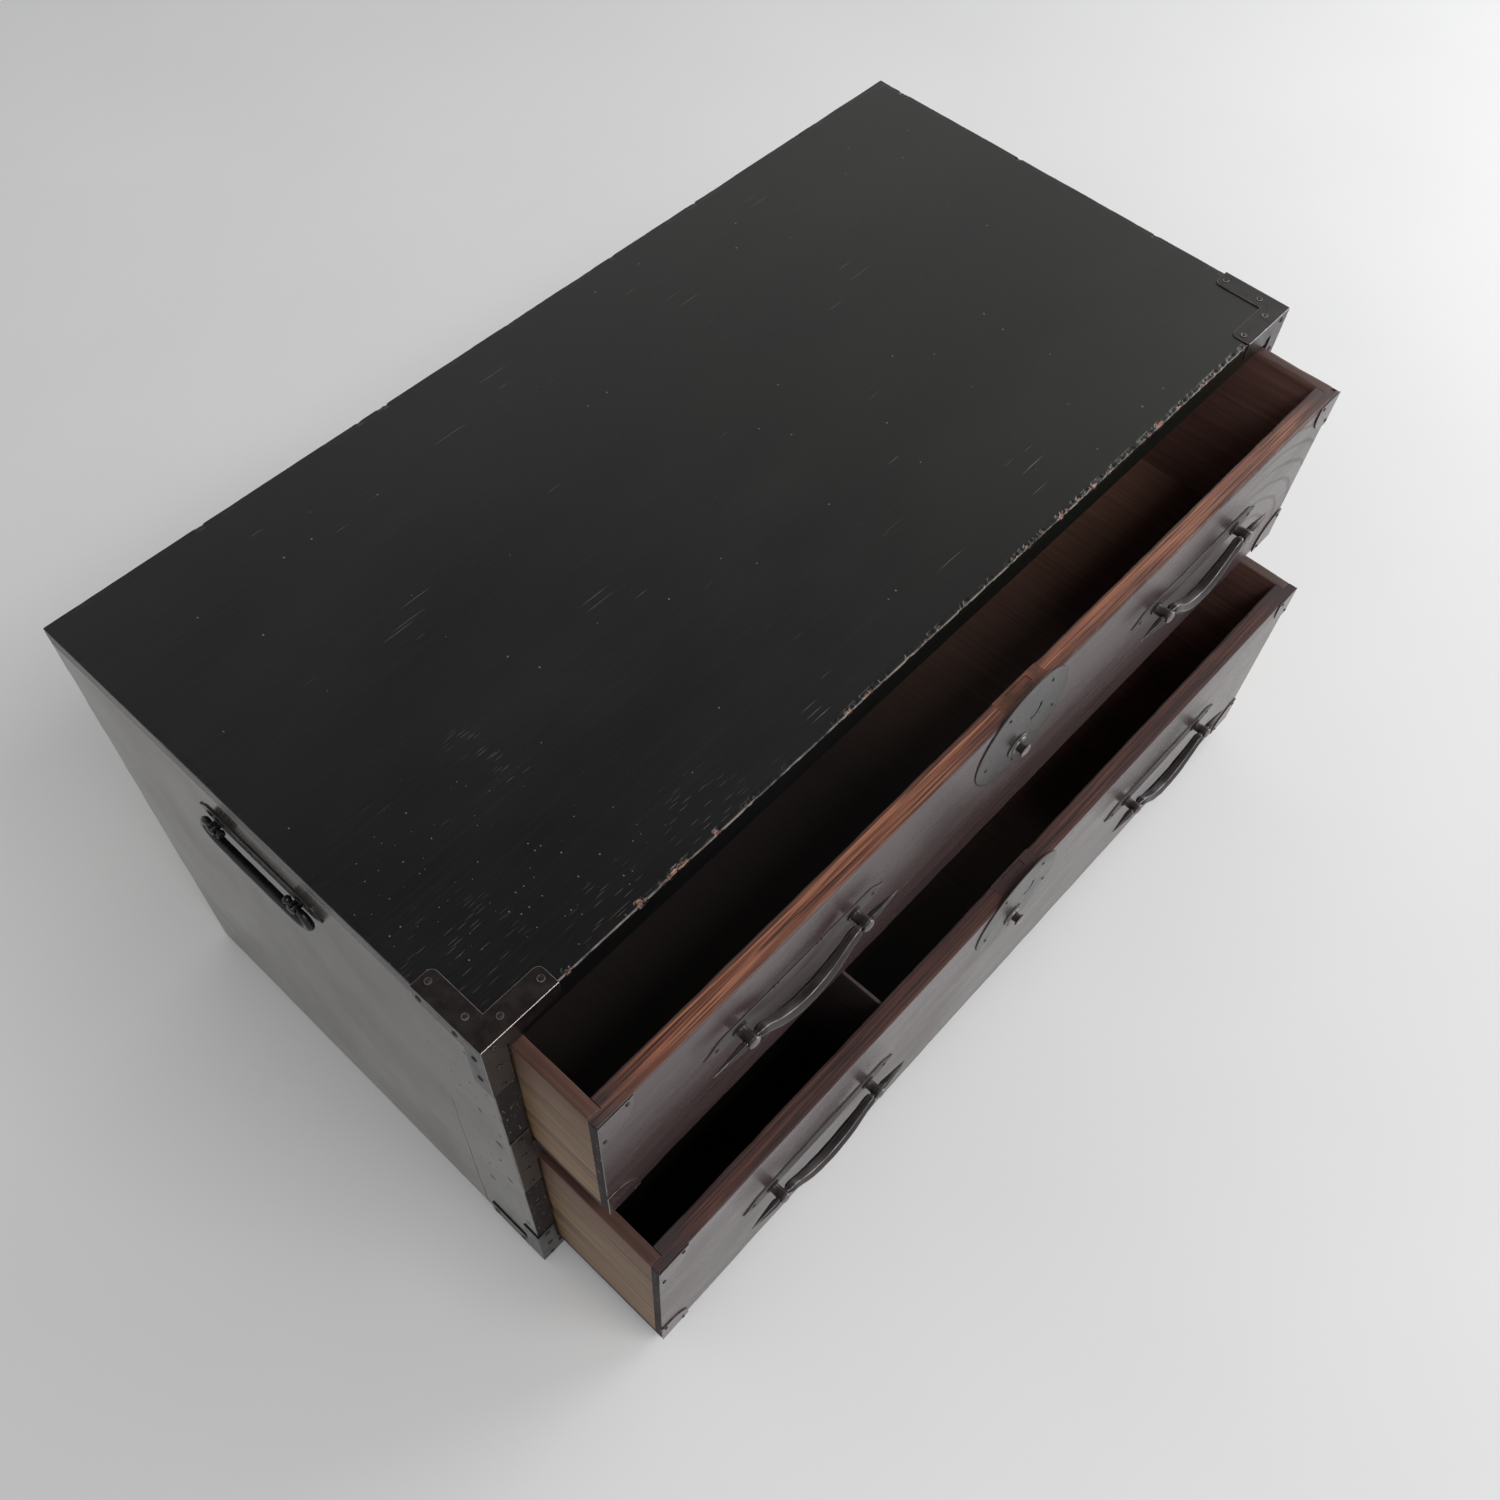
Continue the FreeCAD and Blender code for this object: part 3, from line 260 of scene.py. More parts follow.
def wear(piece, depth, pace, seed, chips=(), reach=2.6):
    """Rubs a board's arrises down unevenly, and sets "bare" to how far each corner has gone.
    A chip is (axis, place, half length, depth, test), in millimetres."""
    low = [min(corner.co[axis] for corner in piece.data.vertices) for axis in range(3)]
    high = [max(corner.co[axis] for corner in piece.data.vertices) for axis in range(3)]
    bare = piece.data.attributes.new("bare", "FLOAT", "POINT")
    shift = Vector((seed * 3.7, seed * 5.3, seed * 7.9))
    for index, corner in enumerate(piece.data.vertices):
        spot = corner.co.copy()
        gaps = [min(spot[axis] - low[axis], high[axis] - spot[axis]) / MM for axis in range(3)]
        near = [axis for axis in range(3) if gaps[axis] < reach]
        if len(near) < 2:
            continue
        rub = max(0, 0.25 + noise.noise(spot / MM / pace + shift)) * depth
        rub += max(0, noise.noise(spot / MM / (pace * 0.22) + shift) - 0.1) * depth * 0.7
        shown = 0.25 * rub / max(depth, 0.01)
        for axis, place, half, deep, test in chips:
            along = abs(spot[axis] / MM - place) / half
            if along < 1 and test(spot / MM):
                broken = 0.55 + 1.1 * noise.noise(spot / MM / 4 + shift)
                broken += 0.5 * noise.noise(spot / MM / 1.7 + shift)
                bump = (1 - along ** 4) * min(1, max(0, broken))
                rub = max(rub, deep * bump)
                shown = max(shown, min(1, deep / 1.5) * bump)
        fade = 1 - max(gaps[axis] for axis in near) / reach
        for axis in near:
            way = 1 if spot[axis] - low[axis] < high[axis] - spot[axis] else -1
            corner.co[axis] += way * rub * MM * (0.35 + 0.65 * fade)
        bare.data[index].value = min(1, shown * (0.3 + 0.7 * fade))
    return piece


def board(name, low, high, axis, seed, rounding=0.8, spacing=5, depth=0.35, pace=38, chips=()):
    """A board with eased and worn arrises that runs along one axis. The lines scored inside its
    arrises keep its faces flat."""
    piece = block(name, low, high)
    ease(piece, rounding)
    for across in range(3):
        if across != axis and high[across] - low[across] > 7:
            score(piece, across, low[across] + 2.7, high[across] - 2.7)
    slice_along(piece, axis, spacing)
    return wear(piece, depth, pace, seed, chips)


def board_of(name, node, axis, seed, **how):
    """The same for a plain board of the CAD."""
    low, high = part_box(node)
    return board(name, low / MM, high / MM, axis, seed, **how)


def turned(name, profile, steps=24):
    """Spins a profile of (radius, height) pairs in millimetres round Z. Its ends are on Z."""
    piece = started(name, "plane", size=MM)
    start_edit(piece)
    mesh = bmesh.from_edit_mesh(piece.data)
    mesh.verts.ensure_lookup_table()
    for corner in mesh.verts[1:]:
        corner.select_set(True)
    bmesh.update_edit_mesh(piece.data)
    bpy.ops.mesh.delete(type="VERT")
    mesh = bmesh.from_edit_mesh(piece.data)
    mesh.verts.ensure_lookup_table()
    mesh.verts[0].co = Vector((profile[0][0], 0, profile[0][1])) * MM
    mesh.verts[0].select_set(True)
    bmesh.update_edit_mesh(piece.data)
    for before, after in zip(profile, profile[1:]):
        step = Vector((after[0] - before[0], 0, after[1] - before[1])) * MM
        bpy.ops.mesh.extrude_vertices_move(TRANSFORM_OT_translate={"value": step})
    bpy.ops.mesh.select_all(action="SELECT")
    bpy.ops.mesh.spin(steps=steps, angle=2 * math.pi, center=(0, 0, 0), axis=(0, 0, 1))
    end_edit()
    return smooth(clean(piece), 38)


def smooth(piece, angle):
    """Shades the piece smooth, but for arrises sharper than the angle."""
    take(piece)
    bpy.ops.object.shade_smooth_by_angle(angle=math.radians(angle))
    return piece


def sheet_iron(name, corners, thickness, rounding=0.35):
    """A flat iron plate cut to an outline of (x, z) corners, its back at y 0 and its face at -y."""
    piece = started(name, "circle", vertices=len(corners), radius=10 * MM, fill_type="NGON")
    start_edit(piece, "FACE")
    mesh = bmesh.from_edit_mesh(piece.data)
    mesh.verts.ensure_lookup_table()
    for corner, (x, z) in zip(mesh.verts, corners):
        corner.co = Vector((x, 0, z)) * MM
    bmesh.update_edit_mesh(piece.data)
    bpy.ops.mesh.select_all(action="SELECT")
    step = (0, -thickness * MM, 0)
    bpy.ops.mesh.extrude_region_move(TRANSFORM_OT_translate={"value": step})
    end_edit()
    clean(piece)
    return ease(piece, rounding) if rounding else piece


def forged_rod(name, stations, sides, rings, turn=0):
    """Draws a rod out through (x, z, half height, half depth) stations, all in millimetres.
    The stations are joined by smooth curves, and the bar's section has that many flats."""
    piece = started(name, "circle", vertices=sides, radius=MM, fill_type="NGON")
    path = [smooth_point(stations, index / (rings - 1)) for index in range(rings)]
    start_edit(piece, "FACE")
    bpy.ops.mesh.select_all(action="SELECT")
    for index, (x, z, tall, deep) in enumerate(path):
        if index:
            bpy.ops.mesh.extrude_region_move(TRANSFORM_OT_translate={"value": (0, 0, MM)})
        before, after = path[max(index - 1, 0)], path[min(index + 1, rings - 1)]
        heading = Vector((after[0] - before[0], 0, after[1] - before[1])).normalized()
        upward = Vector((-heading.z, 0, heading.x))
        mesh = bmesh.from_edit_mesh(piece.data)
        ring = [loop.vert for loop in next(face for face in mesh.faces if face.select).loops]
        for number, corner in enumerate(ring):
            angle = 2 * math.pi * (number + turn) / sides
            corner.co = (Vector((x, 0, z)) + upward * tall * math.sin(angle)
                         + Vector((0, deep * math.cos(angle), 0))) * MM
        bmesh.update_edit_mesh(piece.data)
    end_edit()
    return clean(piece)


def smooth_point(stations, share):
    """A point on the smooth curve through the stations, at a share of the way along."""
    place = share * (len(stations) - 1)
    index = min(int(place), len(stations) - 2)
    t = place - index
    last = len(stations) - 1
    p0, p1, p2, p3 = (stations[min(max(index + step, 0), last)] for step in (-1, 0, 1, 2))
    return [0.5 * (2 * b + (c - a) * t + (2 * a - 5 * b + 4 * c - d) * t * t
                   + (3 * b - a - 3 * c + d) * t ** 3) for a, b, c, d in zip(p0, p1, p2, p3)]


def hammered(piece, depth, pace, seed):
    """Moves the surface in and out a little, as hammer blows leave it."""
    shift = Vector((seed * 2.3, seed * 4.1, seed * 9.7))
    take(piece)
    normals = [corner.normal.copy() for corner in piece.data.vertices]
    for corner, normal in zip(piece.data.vertices, normals):
        corner.co += normal * depth * MM * noise.noise(corner.co / MM / pace + shift)
    return piece


def finish(piece, body, slot, finishes, *nodes):
    """Sets a piece down on its body with its finish, in place of its CAD nodes. A piece that has its
    finishes already is given None."""
    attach(piece, body)
    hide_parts(*nodes)
    if finishes:
        dress(piece, finishes)


def dress(piece, finishes):
    """Gives a piece its materials."""
    finishes = finishes if isinstance(finishes, (list, tuple)) else [finishes]
    piece.data.materials.clear()
    for material in finishes:
        piece.data.materials.append(material)


def dress_faces(piece, number, test):
    """Gives the faces whose middle, in millimetres, and normal pass the test another of the piece's
    finishes."""
    for face in piece.data.polygons:
        if test(face.center / MM, face.normal):
            face.material_index = number


def dress_cad(node, material):
    """Gives a CAD node that stays its material."""
    piece = frame["nodes"][node]
    for place in piece.material_slots:
        place.link = "OBJECT"
        place.material = material


# Materials

def paint(code):
    """An sRGB colour such as "#1a1b1c" as the linear colour that a shader wants."""
    parts = [int(code[start:start + 2], 16) / 255 for start in (1, 3, 5)]
    return tuple(part / 12.92 if part <= 0.04045 else ((part + 0.055) / 1.055) ** 2.4
                 for part in parts) + (1,)


def add(tree, kind, *feeds, stops=(), **settings):
    """Adds a node and gives back its first live output. A kind may name its operation after a dot. The
    feeds go to the node's live inputs in order, and to those that a setting names: each is a value, an
    sRGB code or the output of another node. The stops are a colour ramp's, each a position with an
    sRGB code or a grey. All mixes here are of colours."""
    kind, _, operation = kind.partition(".")
    node = tree.nodes.new("ShaderNode" + kind)
    if operation:
        node.operation = operation
    if kind == "Mix":
        node.data_type = "RGBA"
    for name, value in settings.items():
        if name not in node.inputs:
            setattr(node, name, value)
    live = [socket for socket in node.inputs if socket.enabled]
    named = [(node.inputs[name], value) for name, value in settings.items() if name in node.inputs]
    for socket, value in [*zip(live, feeds), *named]:
        if isinstance(value, bpy.types.NodeSocket):
            tree.links.new(value, socket)
        else:
            socket.default_value = paint(value) if isinstance(value, str) else value
    for index, (position, colour) in enumerate(stops):
        points = node.color_ramp.elements
        point = points[index] if index < 2 else points.new(position)
        point.position = position
        point.color = paint(colour) if isinstance(colour, str) else (colour, colour, colour, 1)
    return next((socket for socket in node.outputs if socket.enabled), None)


def start_material(name):
    """A new material, its node tree and the object's own coordinates."""
    material = bpy.data.materials.new(name)
    material.use_nodes = True
    tree = material.node_tree
    tree.nodes.clear()
    return material, tree, add(tree, "TexCoord").node.outputs["Object"]


def surface(material, colour, rough, height, raised, strength, **settings):
    """Ends a material with its shader: colour, roughness, and bump raised in millimetres."""
    tree = material.node_tree
    bump = add(tree, "Bump", Height=height, Distance=raised * MM, Strength=strength)
    shader = add(tree, "BsdfPrincipled", colour, Roughness=rough, Normal=bump, **settings)
    add(tree, "OutputMaterial", shader)
    return material


def grain(tree, place, size, detail=4, rough=0.55, turn=(0, 0, 0), distortion=0):
    """Noise whose features are as long as size says along each axis, in millimetres, as 0 to 1."""
    mapped = add(tree, "Mapping", place, Scale=[1000 / length for length in size], Rotation=turn)
    return add(tree, "TexNoise", mapped, Scale=1.0, Detail=detail, Roughness=rough,
               Distortion=distortion)


def stained(tree, colour, second, field, low, high, most=1.0):
    """Lays a second colour over the first where a field rises from low to high, up to a share."""
    return add(tree, "Mix", add(tree, "MapRange", field, low, high, 0, most), colour, second)


def highest(tree, fields):
    """The highest of several fields at each point."""
    whole = fields[0]
    for field in fields[1:]:
        whole = add(tree, "Math.MAXIMUM", whole, field)
    return whole


def bare_share(tree, place, size=1.8):
    """How much of the wood shows at a worn arris, with ragged edges."""
    worn = add(tree, "Attribute", attribute_name="bare").node.outputs["Fac"]
    ragged = grain(tree, place, (size, size, size), 3, 0.6)
    worn = add(tree, "Math.MULTIPLY_ADD", ragged, 0.5, worn)
    return add(tree, "MapRange", worn, 0.61, 0.75)


def near_spot(tree, place, centre, radius):
    """1 at a spot given in millimetres, and 0 beyond the radius."""
    away = add(tree, "VectorMath.DISTANCE", place, Vector(centre) * MM)
    return add(tree, "MapRange", away, 0.4 * radius * MM, radius * MM, 1, 0)


def scratches(tree, place, length, width, gap, turn, few):
    """Separate straight scratches, each in a long thin cell of its own. They lie along X before the
    turn, in millimetres, and come in patches: the higher few is, the fewer show."""
    mapped = add(tree, "Mapping", place, Rotation=(0, 0, turn),
                 Scale=(1000 * width / (gap * length), 1000 / gap, 1))
    cell = add(tree, "TexVoronoi", mapped, Scale=1.0, voronoi_dimensions="2D")
    line = add(tree, "MapRange", cell, 0.3 * width / gap, 0.55 * width / gap, 1, 0)
    chosen = add(tree, "SeparateColor", cell.node.outputs["Color"])
    patches = grain(tree, place, (70, 70, 70), 2, 0.6)
    shown = add(tree, "Math.MULTIPLY_ADD", chosen, 0.2, patches)
    shown = add(tree, "MapRange", shown, few, few + 0.06)
    return add(tree, "Math.MULTIPLY", line, shown)


def marks_on_top(tree, place):
    """What a top gathers: long faint scratches all over, strokes in a few places, and knocks."""
    # A stroke is its length, width and gap in millimetres, its turn, and how few there are
    marks = []
    for stroke in ((30, 0.45, 6, 0.06, 0.7), (110, 0.4, 16, -0.1, 0.72), (16, 0.5, 7, 0.5, 0.75),
                   (60, 0.4, 9, -0.25, 0.76)):
        marks.append(add(tree, "Math.MULTIPLY", scratches(tree, place, *stroke), 0.7))
    for spots, stroke, strength in (
            (((-313, -53, 15), (-310, -72, 15), (-305, -93, 16)), (9, 0.4, 2, 0.25, 0.12), 0.6),
            (((-118, -206, 26), (154, -168, 20)), (24, 0.6, 3.2, 0.12, 0.45), 1),
            (((-415, -165, 50), (-330, -212, 40), (-240, -205, 40)), (9, 0.4, 2.3, 0.04, 0.43), 0.5)):
        where = [near_spot(tree, place, (x, y, 482), radius) for x, y, radius in spots]
        strokes = add(tree, "Math.MULTIPLY", scratches(tree, place, *stroke), highest(tree, where))
        marks.append(add(tree, "Math.MULTIPLY", strokes, strength))
    corner = near_spot(tree, place, (-400, -180, 482), 210)
    for cells, rare, largest, where in ((45.0, 0.78, 0.05, 1.0), (150.0, 0.74, 0.13, corner)):
        knocks = add(tree, "TexVoronoi", place, Scale=cells, voronoi_dimensions="2D")
        chosen = add(tree, "SeparateColor", knocks.node.outputs["Color"]).node.outputs["Green"]
        size = add(tree, "Math.MULTIPLY", add(tree, "MapRange", chosen, rare, 1, 0, largest), where)
        ragged = add(tree, "Math.MULTIPLY_ADD", grain(tree, place, (2, 2, 2), 2), largest * 0.6, knocks)
        marks.append(add(tree, "Math.LESS_THAN", ragged, size))
    return highest(tree, marks)


def black_lacquer():
    """Black lacquer brushed thin over wood: nearly black, satin, the grain just telling through, with the
    fine white scratches and small knocks that a top gathers. It turns greener and lighter towards the right
    end: the green is the lacquer's own tone, and the lightening is a painted sheen for the light that the top
    reflects there."""
    material, tree, place = start_material("black_lacquer")
    across, deep, up = add(tree, "SeparateXYZ", place).node.outputs
    broad = grain(tree, place, (420, 150, 150), 3)
    left = add(tree, "ValToRGB", broad, stops=((0.35, "#0b0b0d"), (0.65, "#131315")))
    right = add(tree, "ValToRGB", broad, stops=((0.35, "#111210"), (0.65, "#1a1b15")))
    # Painted sheen: the colour lightens towards the right end, standing in for the light that the top
    # reflects there; its greener cast is the lacquer's own tone
    colour = stained(tree, left, right, across, -0.3, 0.35)
    fine = grain(tree, place, (90, 1.5, 1.5), 4)
    colour = stained(tree, colour, "#252622", fine, 0.5, 0.8, 0.35)
    face_up = add(tree, "MapRange", up, (HEIGHT - 1.2) * MM, (HEIGHT - 0.4) * MM)
    marks = add(tree, "Math.MULTIPLY", marks_on_top(tree, place), face_up)
    faint = add(tree, "Math.MULTIPLY", marks, 0.5)
    colour = add(tree, "Mix", faint, colour, "#86857f")
    # The front arris gets a thin pale line, with gaps: partly lacquer rubbed thin, partly a painted highlight
    # for the light that the rounded arris catches
    line = add(tree, "MapRange", deep, -HALF_DEPTH * MM, (1.3 - HALF_DEPTH) * MM, 1, 0)
    for field, low, high in ((up, (HEIGHT - 2) * MM, (HEIGHT - 1) * MM),
                             (grain(tree, place, (30, 30, 30), 5, 0.7), 0.36, 0.56)):
        line = add(tree, "Math.MULTIPLY", line, add(tree, "MapRange", field, low, high))
    colour = add(tree, "Mix", line, colour, "#978a81")
    bare = bare_share(tree, place)
    wood = add(tree, "ValToRGB", grain(tree, place, (7, 1.2, 1.2), 3),
               stops=((0.36, "#33211b"), (0.5, "#8a5d4d"), (0.66, "#bb9683")))
    colour = add(tree, "Mix", bare, colour, wood)
    rough = add(tree, "MapRange", grain(tree, place, (130, 90, 90), 5), 0.3, 0.7, 0.26, 0.36)
    rough = add(tree, "Math.MULTIPLY_ADD", highest(tree, [marks, bare]), 0.3, rough)
    height = add(tree, "Math.MULTIPLY", fine, 0.4)
    height = add(tree, "Math.MULTIPLY_ADD", grain(tree, place, (45, 30, 30), 3), 0.8, height)
    height = add(tree, "Math.SUBTRACT", height, faint)
    return surface(material, colour, rough, height, 0.22, 0.3, IOR=1.5)


def side_lacquer():
    """The same lacquer on the ends, thinner and rubbed, with a smoother ground, a few bruises and a painted
    shadow along the foot.
    """
    material, tree, place = start_material("side_lacquer")
    _, deep, up = add(tree, "SeparateXYZ", place).node.outputs
    broad = grain(tree, place, (200, 160, 260), 4)
    colour = add(tree, "ValToRGB", broad, stops=((0.3, "#2a251f"), (0.7, "#3b352b")))
    colour = stained(tree, colour, "#413a30", grain(tree, place, (2, 2, 90), 3), 0.5, 0.8, 0.3)
    knocks = add(tree, "MapRange", grain(tree, place, (6, 4, 9), 2, 0.5), 0.67, 0.7)
    to_front = add(tree, "MapRange", deep, -0.223, -0.12, 1, 0)
    knocks = add(tree, "Math.MULTIPLY", knocks, to_front)
    bruises = [near_spot(tree, place, (-HALF_WIDTH, y, z), radius) for y, z, radius in (
        (-178, 134, 4), (-206, 191, 4), (-208, 281, 5), (-196, 330, 3), (-214, 92, 3.5))]
    # Painted shadow: a dark band in the lowest few millimetres, for the shade of the gap at the floor
    foot_shadow = add(tree, "MapRange", up, 2.2 * MM, 4.5 * MM, 1, 0)
    knocks = highest(tree, [knocks, highest(tree, bruises), foot_shadow])
    # The knocks, the bruises and the painted shadow at the foot all take this dark colour
    colour = add(tree, "Mix", add(tree, "Math.MULTIPLY", knocks, 0.85), colour, "#0b0908")
    bare = bare_share(tree, place, 3.0)
    wood = add(tree, "ValToRGB", grain(tree, place, (3, 3, 30), 3),
               stops=((0.3, "#2a1f1b"), (0.7, "#51423a")))
    colour = add(tree, "Mix", bare, colour, wood)
    rough = add(tree, "MapRange", grain(tree, place, (110, 90, 120), 5), 0.3, 0.7, 0.14, 0.24)
    rough = add(tree, "Math.MULTIPLY_ADD", highest(tree, [bare, knocks]), 0.35, rough)
    return surface(material, colour, rough, grain(tree, place, (70, 45, 90), 3), 0.5, 0.2, IOR=1.5)


def side_edge_lacquer():
    """End grain and inner faces: dark brown lacquer, dull, knocked to pale flecks."""
    material, tree, place = start_material("side_edge_lacquer")
    broad = grain(tree, place, (9, 9, 40), 4)
    colour = add(tree, "ValToRGB", broad, stops=((0.3, "#110c0b"), (0.7, "#1f1715")))
    flecks = grain(tree, place, (2.4, 2.4, 5), 3, 0.6, (0, 0.7, 0))
    colour = stained(tree, colour, "#8d8178", flecks, 0.64, 0.66, 0.75)
    colour = add(tree, "Mix", bare_share(tree, place, 3.0), colour, "#4a3d36")
    rough = add(tree, "MapRange", broad, 0.3, 0.7, 0.58, 0.74)
    chipped = add(tree, "MapRange", flecks, 0.64, 0.66)
    height = add(tree, "Math.SUBTRACT", broad, chipped)
    return surface(material, colour, rough, height, 0.4, 0.5, IOR=1.3)


def front_lacquer():
    """Dark brown lacquer wiped over the fronts' wood, which keeps a flowing grain, with growth rings
    at the right end of the upper front."""
    material, tree, place = start_material("front_lacquer")
    across, _, up = add(tree, "SeparateXYZ", place).node.outputs
    streak = grain(tree, place, (160, 5, 5), 4, 0.6)
    colour = add(tree, "ValToRGB", streak, stops=((0.3, "#342729"), (0.7, "#4b3b3b")))
    centred = add(tree, "Mapping", place, Location=(-0.255, 0, -0.3), Scale=(0.85, 1, 1))
    scale, distortion, detail, detail_scale = 18.5, 1.4, 2.0, 1.5
    rings = add(tree, "TexWave", centred, scale, distortion, detail, detail_scale, wave_type="RINGS",
                rings_direction="Y").node.outputs["Fac"]
    rings = add(tree, "MapRange", rings, 0.8, 1)
    at_end = add(tree, "Math.MULTIPLY", add(tree, "MapRange", across, 0.28, 0.34),
                 add(tree, "MapRange", up, 0.26, 0.32))
    rings = add(tree, "Math.MULTIPLY", rings, at_end)
    colour = add(tree, "Mix", add(tree, "Math.MULTIPLY", rings, 0.5), colour, "#1c1110")
    colour = stained(tree, colour, "#544547", grain(tree, place, (30, 0.9, 0.9), 2), 0.55, 0.85, 0.4)
    bare = bare_share(tree, place)
    wood = add(tree, "ValToRGB", grain(tree, place, (30, 2.5, 2.5), 3),
               stops=((0.3, "#5a3024"), (0.7, "#a8664a")))
    colour = add(tree, "Mix", bare, colour, wood)
    rough = add(tree, "MapRange", grain(tree, place, (120, 40, 40), 5), 0.3, 0.7, 0.23, 0.32)
    rough = add(tree, "Math.MULTIPLY_ADD", rings, 0.08, rough)
    rough = add(tree, "Math.MULTIPLY_ADD", bare, 0.25, rough)
    return surface(material, colour, rough, grain(tree, place, (160, 9, 9), 1), 0.3, 0.12, IOR=1.5)


def top_edge_wood(name, dark, middle, light, face, dull):
    """The fronts' upper edges, where hands have worn the lacquer back to red-brown wood: streaks
    along the board, dark at the outer arris, along the inner one and at the ends."""
    material, tree, place = start_material(name)
    across, deep, _ = add(tree, "SeparateXYZ", place).node.outputs
    streak = grain(tree, place, (170, 2.6, 9), 5, 0.72)
    colour = add(tree, "ValToRGB", streak, stops=((0.34, dark), (0.48, middle), (0.64, light)))
    fine = grain(tree, place, (90, 1.5, 5), 3, 0.6)
    colour = stained(tree, colour, dark, fine, 0.5, 0.62, 0.9)
    inward = add(tree, "Math.MULTIPLY_ADD", streak, 0.006, deep)
    outer = add(tree, "MapRange", inward, (face + 3) * MM, (face + 10) * MM, 0.55, 0)
    inner = add(tree, "MapRange", inward, (face + 17.5) * MM, (face + 19) * MM, 0, 0.8)
    ends = add(tree, "MapRange", add(tree, "Math.ABSOLUTE", across), 0.37, 0.412)
    ragged = add(tree, "MapRange", grain(tree, place, (30, 2.5, 5), 3), 0.35, 0.6, 0.5, 1)
    ends = add(tree, "Math.MULTIPLY", ends, ragged)
    for share, code in ((outer, "#3c2523"), (inner, "#221a14"), (ends, "#2f2325")):
        colour = add(tree, "Mix", share, colour, code)
    rough = add(tree, "MapRange", streak, 0.3, 0.7, dull, dull + 0.12)
    return surface(material, colour, rough, add(tree, "Math.ADD", streak, fine), 0.25, 0.5, IOR=1.5)


def plain_wood(name, dark, light, axis, dull, painted_shade_span=None):
    """Planed softwood left bare: straight streaks along one axis, dull. It may take painted shade that
    darkens it towards the left, the low end of X. Its last argument gives the places along X where that
    starts and ends."""
    material, tree, place = start_material(name)
    broad_size, fine_size = ([along if number == axis else across for number in range(3)]
                             for across, along in ((4, 180), (1.1, 45)))
    streak = grain(tree, place, broad_size, 4, 0.6)
    fine = grain(tree, place, fine_size, 3)
    colour = add(tree, "ValToRGB", streak, stops=((0.3, dark), (0.7, light)))
    colour = stained(tree, colour, dark, fine, 0.5, 0.8, 0.35)
    colour = stained(tree, colour, dark, grain(tree, place, (80, 80, 80), 4), 0.5, 0.75, 0.35)
    if painted_shade_span:
        # Painted shade: the colour darkens towards the left, standing in for the shade inside the drawers
        painted_shade = add(tree, "MapRange", add(tree, "SeparateXYZ", place), *painted_shade_span, 0.94, 0)
        colour = add(tree, "Mix", painted_shade, colour, "#0c0705")
    rough = add(tree, "MapRange", fine, 0.3, 0.7, dull, dull + 0.15)
    return surface(material, colour, rough, add(tree, "Math.ADD", streak, fine), 0.15, 0.4, IOR=1.45)


def side_wood(name, top):
    """A drawer side's outer face: tan with long brown streaks, stained red-brown towards its top."""
    material, tree, place = start_material(name)
    streak = grain(tree, place, (20, 260, 17), 5, 0.6, (0.05, 0, 0), 0.5)
    colour = add(tree, "ValToRGB", streak, stops=((0.3, "#4d3827"), (0.5, "#745b41"), (0.7, "#8a6d4d")))
    lines = grain(tree, place, (9, 210, 4.5), 3, 0.6, (0.05, 0, 0), 0.3)
    colour = stained(tree, colour, "#46321f", lines, 0.58, 0.7, 0.5)
    fine = grain(tree, place, (1.4, 70, 1.4), 3, 0.6)
    colour = stained(tree, colour, "#4a3628", fine, 0.5, 0.75, 0.3)
    up = add(tree, "SeparateXYZ", place).node.outputs["Z"]
    ragged = add(tree, "Math.ADD", grain(tree, place, (40, 90, 12), 3), streak)
    ragged = add(tree, "Math.MULTIPLY_ADD", ragged, 0.045, up)
    colour = stained(tree, colour, "#5a3a2f", ragged, (top + 2) * MM, (top + 42) * MM, 0.85)
    colour = stained(tree, colour, "#33231c", grain(tree, place, (9, 40, 9), 2), 0.68, 0.76, 0.6)
    rough = add(tree, "MapRange", fine, 0.3, 0.7, 0.5, 0.66)
    return surface(material, colour, rough, add(tree, "Math.ADD", streak, fine), 0.2, 0.45, IOR=1.45)


def black_iron(name, dark, light, metallic, sleek, dull, pace=9):
    """Iron fired with lacquer, so brown-black, dull in the hollows and bright where it is rubbed."""
    material, tree, place = start_material(name)
    mottle = grain(tree, place, (pace, pace, pace), 5, 0.6)
    colour = add(tree, "ValToRGB", mottle, stops=((0.32, dark), (0.68, light)))
    pits = grain(tree, place, (1.6, 1.6, 1.6), 3)
    rough = add(tree, "Math.MULTIPLY_ADD", pits, 0.3, mottle)
    rough = add(tree, "MapRange", rough, 0.45, 0.85, sleek, dull)
    height = add(tree, "Math.MULTIPLY_ADD", pits, 0.5, mottle)
    return surface(material, colour, rough, height, 0.3, 0.35, Metallic=metallic)


def floor_finish():
    """Pale painted concrete, smooth and faintly clouded."""
    material, tree, place = start_material("painted_floor")
    cloud = grain(tree, place, (900, 900, 900), 4)
    colour = add(tree, "ValToRGB", cloud, stops=((0.3, "#e5e5e6"), (0.7, "#ececec")))
    return surface(material, colour, 0.75, grain(tree, place, (40, 40, 40), 4), 0.3, 0.1, IOR=1.4)


LACQUER = black_lacquer()
SIDE = side_lacquer()
SIDE_EDGE = side_edge_lacquer()
FRONT = front_lacquer()
UPPER_EDGE = top_edge_wood("upper_edge_wood", "#2f1710", "#734431", "#a36a50", -296.5, 0.4)
LOWER_EDGE = top_edge_wood("lower_edge_wood", "#190c0b", "#3d201c", "#633a30", -343.5, 0.68)
